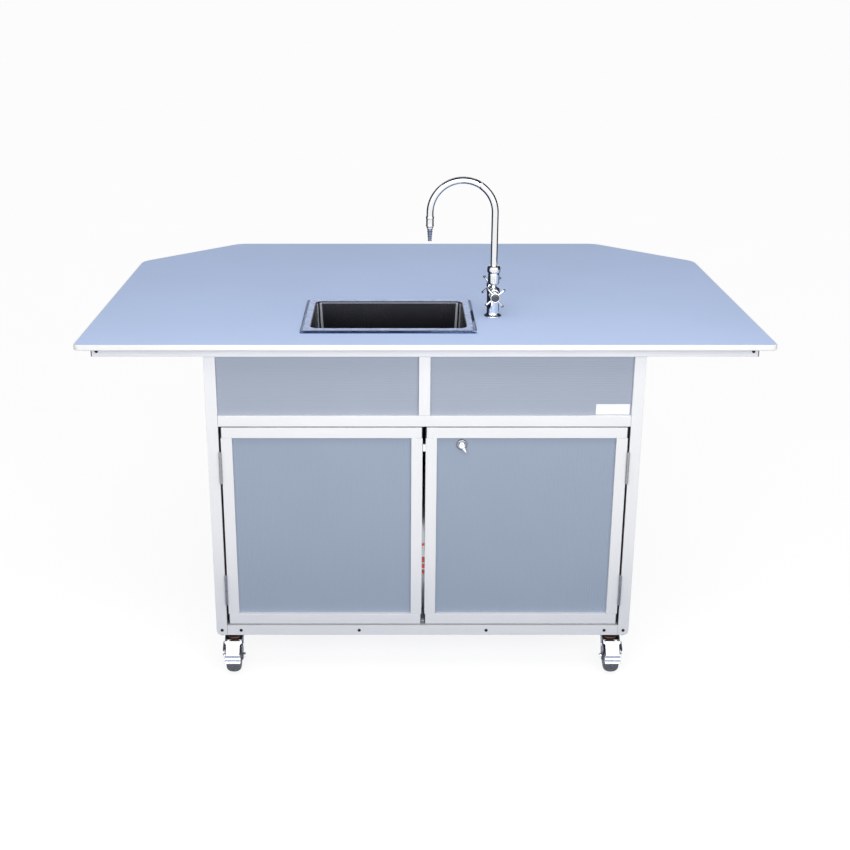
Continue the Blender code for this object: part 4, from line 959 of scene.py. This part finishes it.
def build_pump():
    low = FLOOR_TOP + GAP
    x, y = 0.240, 0.030
    pump = Shape()
    pump.block((x - 0.030, y - 0.035, low + 0.006), (x + 0.060, y + 0.026, low + 0.080), 0.005, 0, 3)
    for sx in (-0.022, 0.052):
        for sy in (-0.027, 0.018):
            foot = rounded_mm([(0, 0), (7.5, 0), (6.8, 6.4), (0, 6.4)], 1.2, 2)
            pump.turned(foot, at(x + sx, y + sy, low), 1, 20)
    motor = [(0.0, 0.020)]
    for k in range(9):
        start = 0.024 + k * 0.0105
        motor += [(0.0330, start), (0.0330, start + 0.0050), (0.0305, start + 0.0056),
                  (0.0305, start + 0.0099)]
    motor += rounded_mm([(33, 120), (33, 140), (26, 145), (0, 145)], 4, 4)
    pump.turned(motor, towards((x + 0.015, y, low + 0.040), (0, 1, 0)), 2, 40)
    for sx, sz in ((-0.020, 0.012), (0.050, 0.012), (-0.020, 0.072), (0.050, 0.072)):
        screw(pump, (x + sx, y - 0.035, low + sz), (0, -1, 0), 0.0035, 3)
    face = rounded_mm([(0, 0), (24, 0), (24, 3), (17, 4.5), (0, 4.5)], 1.2, 3)
    pump.turned(face, towards((x + 0.015, y - 0.0350, low + 0.042), (0, -1, 0)), 1, 40)
    compression_nut(pump, (x, y, low + 0.0802), (0, 0, 1), 0.006, 3)
    compression_nut(pump, (x + 0.045, y, low + 0.0802), (0, 0, 1), 0.005, 3)
    pump.put("pump_unit", [BLACK, WHEEL_HUB, FORK_ZINC, HINGE_ZINC], replaces=["pump"], slot="pump_plastic")


def build_heater():
    x, y = -0.330, -0.295
    low = FLOOR_TOP + GAP
    heater = Shape()
    heater.block((x - 0.100, y - 0.125, low + 0.008), (x + 0.100, y + 0.125, low + 0.350), 0.014, 0, 4)
    heater.block((x - 0.092, y - 0.117, low), (x + 0.092, y + 0.117, low + 0.010), 0.002, 1)
    front = front_plane(x, y - 0.125, low + 0.085)
    heater.slab(rounded(rectangle(-0.070, 0.070, -0.040, 0.040), 0.008, 4, True), [], -0.001, 0.0015,
                0.0006, front, 1, steps=2)
    dial = rounded_mm([(0, 1), (24, 1), (22, 12), (0, 13.5)], 2, 3)
    heater.turned(dial, towards((x - 0.030, y - 0.125, low + 0.085), (0, -1, 0)), 2, 40)
    heater.slab(rounded(rectangle(-0.002, 0.002, 0.004, 0.020), 0.001, 2, True), [], 0.0130, 0.0150, 0.0004,
                front_plane(x - 0.030, y - 0.125, low + 0.085), 0, steps=1)
    lamp = rounded_mm([(0, 1), (5, 1), (4.5, 3.5), (0, 4.5)], 1, 3)
    heater.turned(lamp, towards((x + 0.040, y - 0.125, low + 0.085), (0, -1, 0)), 3, 20)
    compression_nut(heater, (x + 0.030, y + 0.060, low + 0.3500), (0, 0, 1), 0.005, 4)
    compression_nut(heater, (x - 0.040, y + 0.060, low + 0.3500), (0, 0, 1), 0.005, 4)
    heater.put("heater_case", [ENAMEL, BLACK, WHEEL_HUB, CAP_RED, BRASS], replaces=["water_heater"],
               slot="heater_enamel")


def build_pipes():
    low = FLOOR_TOP + GAP
    head = low + 0.080 + 2 * GAP
    neck_y, pump_y = -0.140, 0.030
    crest = TANK_TOP + 0.070
    bend = (pump_y - neck_y) / 2
    over = [(0.240, y, z) for y, z in arc(((neck_y + pump_y) / 2, crest), bend, math.pi, 0.0, 28)]
    Shape().tube([(0.240, neck_y, 0.1633), *over, (0.240, pump_y, head)], 0.0060).put(
        "suction_hose", PIPE, replaces=["suction_pipe"], slot="pipe_plastic")
    shank = TOP_HIGH - 0.0553
    cold_x = FAUCET_X + 0.0062
    cold = [(0.285, pump_y, head), (0.285, pump_y, 0.590), (cold_x, FAUCET_Y, 0.640),
            (cold_x, FAUCET_Y, shank)]
    Shape().tube(rounded(cold, 0.060, 12),
                 0.0050).put("cold_hose", PIPE_BLUE, replaces=["cold_pipe"], slot="pipe_plastic")
    hot_x, hot_y, out_x, out_y = FAUCET_X - 0.0062, -0.110, -0.300, -0.235
    hot = [(out_x, out_y, low + 0.3503), (out_x, out_y, 0.570), (-0.170, hot_y, 0.590),
           (hot_x, hot_y, 0.610), (hot_x, FAUCET_Y, 0.640), (hot_x, FAUCET_Y, shank)]
    Shape().tube(rounded(hot, 0.045, 12),
                 0.0050).put("hot_hose", PIPE_RED, replaces=["hot_pipe"], slot="pipe_plastic")


# ------------------------------------------------------------------ faucet
def build_faucet():
    place = at(FAUCET_X, FAUCET_Y, TOP_HIGH)
    body = Shape()
    lower = rounded([(0.0100, GAP), (0.0205, GAP), (0.0205, 0.0034), (0.0168, 0.0058), (0.0148, 0.0090),
                     (0.0145, 0.0140), (0.0145, 0.0560), (0.0152, 0.0575), (0.0152, 0.0635),
                     (0.0140, 0.0668), (0.0092, 0.0702), (0.0065, 0.0718), (0.0065, 0.0762),
                     (0.0112, 0.0770), (0.0130, 0.0800), (0.0130, 0.1010), (0.0122, 0.1035),
                     (0.0083, 0.1035)], 0.0012, 4)
    body.turned([(0.0, -0.055), (0.0100, -0.055), *lower, (0.0083, 0.0900), (0.0, 0.0900)], place, 0, 64)
    valve = TOP_HIGH + 0.060
    bonnet = 0.068 - 0.013 - GAP
    for way in (-1, 1):
        stem = rounded([(0.0, 0.006), (0.0118, 0.006), (0.0118, 0.0200), (0.0105, 0.0215), (0.0105, 0.0400),
                        (0.0090, 0.0440), (0.0062, 0.0455), (0.0062, bonnet), (0.0, bonnet)], 0.0010, 3)
        body.turned(stem, towards((FAUCET_X, FAUCET_Y, valve), (0, way, 0)), 0, 48)
        hex_head(body, (FAUCET_X, FAUCET_Y + way * 0.0285, valve), (0, way, 0), 0.0225, 0.0080)
    body.put("faucet_column", CHROME, replaces=["faucet_body"], slot="faucet_chrome")

    shank = Shape()
    for height, size in ((TOP_LOW - 0.0016, 0.0210), (TOP_LOW - 0.0030, 0.0185)):
        shank.turned(rounded([(0.0102, 0.0), (size, 0.0), (size, 0.0013), (0.0102, 0.0013)], 0.0003, 2),
                     at(FAUCET_X, FAUCET_Y, height), 0, 40, closed=True)
    hex_head(shank, (FAUCET_X, FAUCET_Y, TOP_LOW - 0.0120), (0, 0, 1), 0.0300, 0.0088)
    shank.put("shank_nut", BRASS)

    nut = rounded_mm([(8.3, 103.8), (13.6, 103.8), (15, 106.2), (15.25, 108.5), (15.25, 113.5), (14.8, 117),
                      (13, 119.6), (10.6, 120.7), (8.3, 120.7)], 1.4, 4)
    Shape().turned(nut, place, 0, 64,
                   closed=True).put("spout_collar", CHROME, replaces=["spout_nut"], slot="faucet_chrome")
    radius, height = 0.074, TOP_HIGH + 0.2418
    bow = [(x, FAUCET_Y, z) for x, z in arc((FAUCET_X - radius, height), radius, 0.0, math.pi, 72)]
    tip_x = FAUCET_X - 2 * radius
    Shape().tube([(FAUCET_X, FAUCET_Y, TOP_HIGH + 0.0920), (FAUCET_X, FAUCET_Y, height - 0.001), *bow,
                  (tip_x, FAUCET_Y, TOP_HIGH + 0.2165)], 0.00795, 0,
                 40).put("gooseneck_tube", CHROME, "spout", ["gooseneck"], "faucet_chrome")

    barbs = []
    count, top, low = 7, 0.2062, 0.1785
    for k in range(count):
        share = k / count
        outer = 0.0066 - 0.0024 * share
        start = top - (top - low) * share
        step = (top - low) / count
        barbs += [(outer - 0.0019, start), (outer, start - step * 0.62), (outer, start - step * 0.86)]
    profile = rounded_mm([(8.3, 234.5), (8.9, 234.5), (9.2, 233), (9.2, 229), (8.6, 228.2), (8.6, 215),
                          (9, 214.2), (9, 211.8), (7.6, 210), (7.4, 207)], 0.5, 3)
    first, last = len(profile), len(profile) + len(barbs)
    profile += [*barbs, (0.0042, low), (0.0040, 0.1777), (0.0028, 0.1777), (0.0028, 0.2160),
                (0.0083, 0.2162)]
    # The serrated band takes the darker chrome: painted shade.
    Shape().turned(profile, at(tip_x, FAUCET_Y, TOP_HIGH), 0, 40, closed=True, pick=lambda ring,
                   _: 1 if first <= ring <= last else 0).put("serrated_nozzle", [CHROME, SERRATION_PAINTED_SHADE], "spout",
                                                             ["nozzle"], "faucet_chrome")
    for name, way in (("front", -1), ("rear", 1)):
        build_handle(name, way, valve)


def build_handle(name, way, height):
    """A hub with four slim arms that swell to ball tips, and a plain dark index button."""
    face = FAUCET_Y + way * 0.068
    place = towards((FAUCET_X, face - way * 0.013, height), (0, way, 0))
    handle = Shape()
    hub = rounded_mm([(0, 0), (8.5, 0), (11, 2), (12, 5), (12, 10), (11.2, 12.8), (9.2, 13), (8.8, 11.8),
                      (0, 11.8)], 1, 4)
    handle.turned(hub, place, 0, 56)
    middle = face - way * 0.0060
    for number in range(4):
        angle = math.radians(40) + number * math.pi / 2
        way_out = Vector((math.cos(angle), 0, math.sin(angle)))
        start = Vector((FAUCET_X, middle, height))
        arm = [start + way_out * reach for reach in (0.0095, 0.0150, 0.0200, 0.0252)]
        handle.tube(arm, [0.0030, 0.0026, 0.0024, 0.0024], 0, 20)
        # The ball tips take the darker chrome: painted shade.
        tip = [start + way_out * reach for reach in (0.0244, 0.0250, 0.0264, 0.0280, 0.0288, 0.0290)]
        handle.tube(tip, [0.0020, 0.0029, 0.0031, 0.0027, 0.0016, 0.0004], 1, 20)
    handle.put(f"handle_{name}", [CHROME, CHROME_PAINTED_SHADE], f"valve_{name}", [f"valve_handle_{name}"],
               "faucet_chrome")
    button = rounded_mm([(0, 11.6), (8.6, 11.6), (8.4, 12.7), (5, 13.3), (0, 13.5)], 0.8, 4)
    Shape().turned(button, place, 0, 48).put(f"index_button_{name}", BUTTON, f"valve_{name}")


# ------------------------------------------------------------------ casters
def build_caster(end_name, side_name, side):
    label = f"{end_name}_{side_name}"
    x, y = side * CASTER_X, CASTER_Y[end_name]
    yoke_body = f"yoke_{label}"
    axle_y = y - LEAD

    plate = Shape()
    outline = rounded(rectangle(-0.032, 0.032, -0.038, 0.038), 0.006, 5, True)
    plate.slab(outline, [], 0.0983, 0.1013, 0.0006, at(x, y), steps=2)
    for sx in (-0.025, 0.025):
        for sy in (-0.031, 0.031):
            hex_head(plate, (x + sx, y + sy, 0.0984), (0, 0, -1), 0.0080, 0.0036, turn=0.3)
    race = rounded_mm([(0, 98.5), (18, 98.5), (19.6, 97.2), (18, 94), (19.6, 90.5), (18, 88.1), (0, 88.1)],
                      0.8, 3)
    plate.turned(race, at(x, y), 0, 48)
    plate.put(f"caster_mount_{label}", FORK_ZINC, replaces=[f"caster_plate_{label}"], slot="caster_zinc")

    yoke = Shape()
    crown = rounded_mm([(0, 86.2), (18.8, 86.2), (18.8, 77.5), (17.8, 76.8), (0, 76.8)], 0.6, 3)
    yoke.turned(crown, at(x, y), 2, 56)
    yoke.block((x - 0.0186, y - 0.0130, 0.0748), (x + 0.0186, y + 0.0100, 0.0864), 0.0006, index=3)
    lip = rounded_mm([(0, 87.7), (28, 87.7), (28.5, 86.8), (27.6, 85.6), (0, 85.6)], 0.6, 3)
    yoke.turned(lip, at(x, y), 3, 56)
    bridge = []
    for k in range(17):
        angle = math.radians(97 + 34 * k / 16)
        ring = []
        for reach, way in ((0.0398, -1), (0.0418, -1), (0.0418, 1), (0.0398, 1)):
            ring.append(Vector((x + way * 0.0186, axle_y - reach * math.cos(angle),
                                WHEEL_RADIUS + reach * math.sin(angle))))
        bridge.append(ring)
    yoke.loft(bridge, index=3)
    leg = rounded_mm([(-15.5, 80), (-16.5, 87), (22, 87), (42.5, 66), (40.5, 36), (36, 28.5), (25, 28.5),
                      (18.5, 38), (2, 78)], 5.5, 5, True)
    for way in (-1, 1):
        plane = side_plane(x + way * 0.01975, y)
        yoke.slab(leg, [], -0.00125, 0.00125, 0.0004, plane, steps=2)
        plane = side_plane(x + way * 0.0206, y)
        yoke.slab(circle((LEAD, WHEEL_RADIUS), 0.0085, 28), [], -0.0012, 0.0012, 0.0004, plane, steps=2)
        rivet = rounded_mm([(4.2, 0), (4.2, 0.6), (2.9, 1.8), (0, 2.2)], 0.5, 3)
        outer = 0.0229 if end_name == "front" else 0.0209
        yoke.turned([(0.0, -0.0042), (0.0021, -0.0042), (0.0021, 0.0), *rivet],
                    towards((x + way * outer, y - 0.034, 0.071), (way, 0, 0)), 1, 24)
    yoke.turned([(0.0, -0.0275), (0.0038, -0.0275), (0.0038, 0.0275), (0.0, 0.0275)],
                towards((x, axle_y, WHEEL_RADIUS), (1, 0, 0)), 1, 24)
    hex_head(yoke, (x + 0.0218, axle_y, WHEEL_RADIUS), (1, 0, 0), 0.0130, 0.0055, 1, 0.2)
    dome = rounded_mm([(6.2, 0), (6.2, 2), (4.8, 5), (0, 6.6)], 1.4, 4)
    yoke.turned([(0.0, 0.0), *dome], towards((x - 0.0218, axle_y, WHEEL_RADIUS), (-1, 0, 0)), 1, 32)
    yoke.put(f"caster_fork_{label}", [FORK_ZINC, BRIGHT_ZINC, RACE, BLACK], yoke_body,
             [f"caster_yoke_{label}"], "caster_zinc")

    wheel = Shape()
    half = 0.016
    tread = rounded([(0.0290, half), (0.0318, half), (0.0347, half - 0.0030), (0.0368, half - 0.0068),
                     (0.0379, half - 0.0115), (0.0380, 0.0), (0.0379, 0.0115 - half),
                     (0.0368, 0.0068 - half), (0.0347, 0.0030 - half), (0.0318, -half), (0.0290, -half)],
                    0.0020, 4)
    count = len(tread)
    hub = [(0.0275, -half + 0.0006), (0.0262, -half + 0.0050), (0.0115, -half + 0.0052),
           (0.0105, -half - 0.0006), (0.0046, -half - 0.0006), (0.0046, half + 0.0006),
           (0.0105, half + 0.0006), (0.0115, half - 0.0052), (0.0262, half - 0.0050),
           (0.0275, half - 0.0006)]
    wheel.turned([*tread, *hub], towards((x, axle_y, WHEEL_RADIUS), (1, 0, 0)), 0, 72, closed=True,
                 pick=lambda ring, _: 0 if ring < count - 1 or ring >= count + len(hub) - 1 else 1)
    for way in (-1, 1):
        for k in range(5):
            angle = math.tau * k / 5
            out = Vector((0, math.cos(angle), math.sin(angle)))
            start = Vector((x + way * (half - 0.0036), axle_y, WHEEL_RADIUS))
            wheel.tube([start + out * reach for reach in (0.0095, 0.0180, 0.0268)],
                       [0.0030, 0.0022, 0.0028], 1, 12)
    wheel.put(f"caster_roller_{label}", [TYRE, WHEEL_HUB], f"wheel_{label}", [f"caster_wheel_{label}"],
              "tyre_rubber")
    if end_name == "front":
        build_pedal(label, x, y)


def build_pedal(label, x, y):
    """A bright pedal folded round the wheel: a flat upper face, two pressed steps and a lip at its toe."""
    profile = rounded_mm([(43.9, 83.6), (67.5, 59), (68.2, 51.6), (70.4, 49.4), (70.4, 43.2), (73.4, 40.2)],
                         1.6, 5)
    profile = [Vector(point) for point in profile]
    flat = [profile[0].lerp(profile[1], k / 16) for k in range(16)]
    profile = flat + profile[1:]
    lengths = [0.0]
    for before, after in zip(profile, profile[1:]):
        lengths.append(lengths[-1] + (after - before).length)
    pedal = Shape()
    across = [-1.0, -0.97, -0.90, -0.60, 0.0, 0.60, 0.90, 0.97, 1.0]
    rings = []
    for k, point in enumerate(profile):
        along = profile[min(k + 1, len(profile) - 1)] - profile[max(k - 1, 0)]
        normal = Vector((-along.y, along.x)).normalized()
        share = lengths[k] / lengths[-1]
        half = 0.0
        for start, end in zip(PEDAL_WIDTHS, PEDAL_WIDTHS[1:]):
            if start[0] <= share <= end[0]:
                blend = (share - start[0]) / (end[0] - start[0])
                half = start[1] + (end[1] - start[1]) * blend * blend * (3 - 2 * blend)
        ring = []
        for depth, order in ((0.0, across), (0.0018, across[::-1])):
            for place in order:
                edge = 0.0009 * max(0.0, (abs(place) - 0.90) / 0.10) ** 2 if depth == 0.0 else 0.0
                ahead, up = point - normal * (depth + edge)
                ring.append(Vector((x + place * half, y - ahead, up)))
        rings.append(ring)
    pedal.loft(rings)
    ear = rounded_mm([(29, 65), (30, 77), (40, 80.5), (60.5, 69.5), (50, 59.5), (36, 62)], 3, 4, True)
    for way in (-1, 1):
        plane = side_plane(x + way * 0.0221, y)
        pedal.slab(ear, [], -0.0008, 0.0008, 0.0003, plane, index=1, steps=2)
    pedal.put(f"brake_lever_{label}", [BRIGHT_ZINC, FORK_ZINC], f"pedal_{label}", [f"brake_pedal_{label}"],
              "pedal_zinc")


# ------------------------------------------------------------------ floor, light and camera
def aimed(place, target, axis):
    """The rotation that points a local axis from a place at a target."""
    return (Vector(target) - Vector(place)).to_track_quat(axis, "Y").to_euler()


def area_light(name, place, target, size, power):
    data = bpy.data.lights.new(name, "AREA")
    data.shape = "RECTANGLE"
    data.size, data.size_y = size
    data.energy = power
    light = add_object(name, data)
    light.location = place
    light.rotation_euler = aimed(place, target, "-Z")
    light.visible_camera = False


def stage_plane(name, place, target, size, material):
    width, height = size
    mesh = bpy.data.meshes.new(name)
    corners = rectangle(-width / 2, width / 2, -height / 2, height / 2)
    mesh.from_pydata([(x, y, 0) for x, y in corners], [], [(0, 1, 2, 3)])
    mesh.materials.append(material)
    plane = add_object(name, mesh)
    plane.location = place
    plane.rotation_euler = aimed(place, target, "Z")
    return plane


def build_world():
    """Soft even light from above; below the horizon the surroundings are dimmer and bluer."""
    world = bpy.data.worlds.new("studio")
    world.use_nodes = True
    tree = world.node_tree
    link = tree.links.new
    background = tree.nodes["Background"]
    split = add_node(tree, "ShaderNodeSeparateXYZ")
    level = add_node(tree, "ShaderNodeMapRange", {"From Min": -0.30, "From Max": -0.03})
    mix = add_node(tree, "ShaderNodeMix", {"A": WORLD_BELOW, "B": WORLD_ABOVE}, data_type="RGBA")
    link(add_node(tree, "ShaderNodeTexCoord").outputs["Generated"], split.inputs[0])
    link(split.outputs["Z"], level.inputs["Value"])
    link(level.outputs["Result"], mix.inputs["Factor"])
    link(mix.outputs["Result"], background.inputs["Color"])
    fill = add_node(tree, "ShaderNodeMapRange", {"To Min": 1.0, "To Max": WORLD_FILL})
    link(add_node(tree, "ShaderNodeLightPath").outputs["Is Diffuse Ray"], fill.inputs["Value"])
    link(fill.outputs["Result"], background.inputs["Strength"])
    bpy.context.scene.world = world


def build_stage():
    scene = bpy.context.scene
    scene.view_settings.view_transform = "Standard"
    build_world()
    paint = Paint("floor", (0.24, 0.24, 0.24), 0.80, Specular_IOR_Level=0.0, Emission_Color=(1, 1, 1, 1),
                  Emission_Strength=FLOOR_GLOW)
    paint.mottle((0.235, 0.235, 0.235), 1.0, 1.5)
    floor = stage_plane("floor", (0, 0, 0), (0, 0, 1), (FLOOR_SIZE, FLOOR_SIZE), paint.material)
    floor.visible_diffuse = False

    papers = {colour: Paint("card", colour, 0.9).material for colour in (DARK, DUSK)}
    for number, (place, target, size, colour) in enumerate(REFLECTION_CARDS):
        card = stage_plane(f"card_{number}", place, target, size, papers[colour])
        card.visible_camera = card.visible_diffuse = card.visible_shadow = False
        card.visible_transmission = card.visible_volume_scatter = False
    for light in LIGHTS:
        area_light(*light)

    camera = bpy.data.cameras.new("camera")
    camera.lens = CAMERA_LENS
    camera.shift_x = CAMERA_SHIFT
    holder = add_object("camera", camera)
    holder.location = CAMERA_PLACE
    holder.rotation_euler = (math.radians(90 - CAMERA_DIP), 0, 0)
    scene.camera = holder


build_worktop()
build_frame()
build_panels()
build_name_plate()
build_doors()
build_latch()
build_basin()
build_tank("waste", SINK_X, (SINK_X, SINK_Y), 0.0168, CAP_RED, 0.000)
build_tank("fresh", 0.240, (0.240, -0.140), 0.0068, CAP_BLUE, 0.240)
build_pump()
build_heater()
build_pipes()
build_faucet()
for end in CASTER_Y:
    for caster_side, sign in SIDES.items():
        build_caster(end, caster_side, sign)
build_stage()
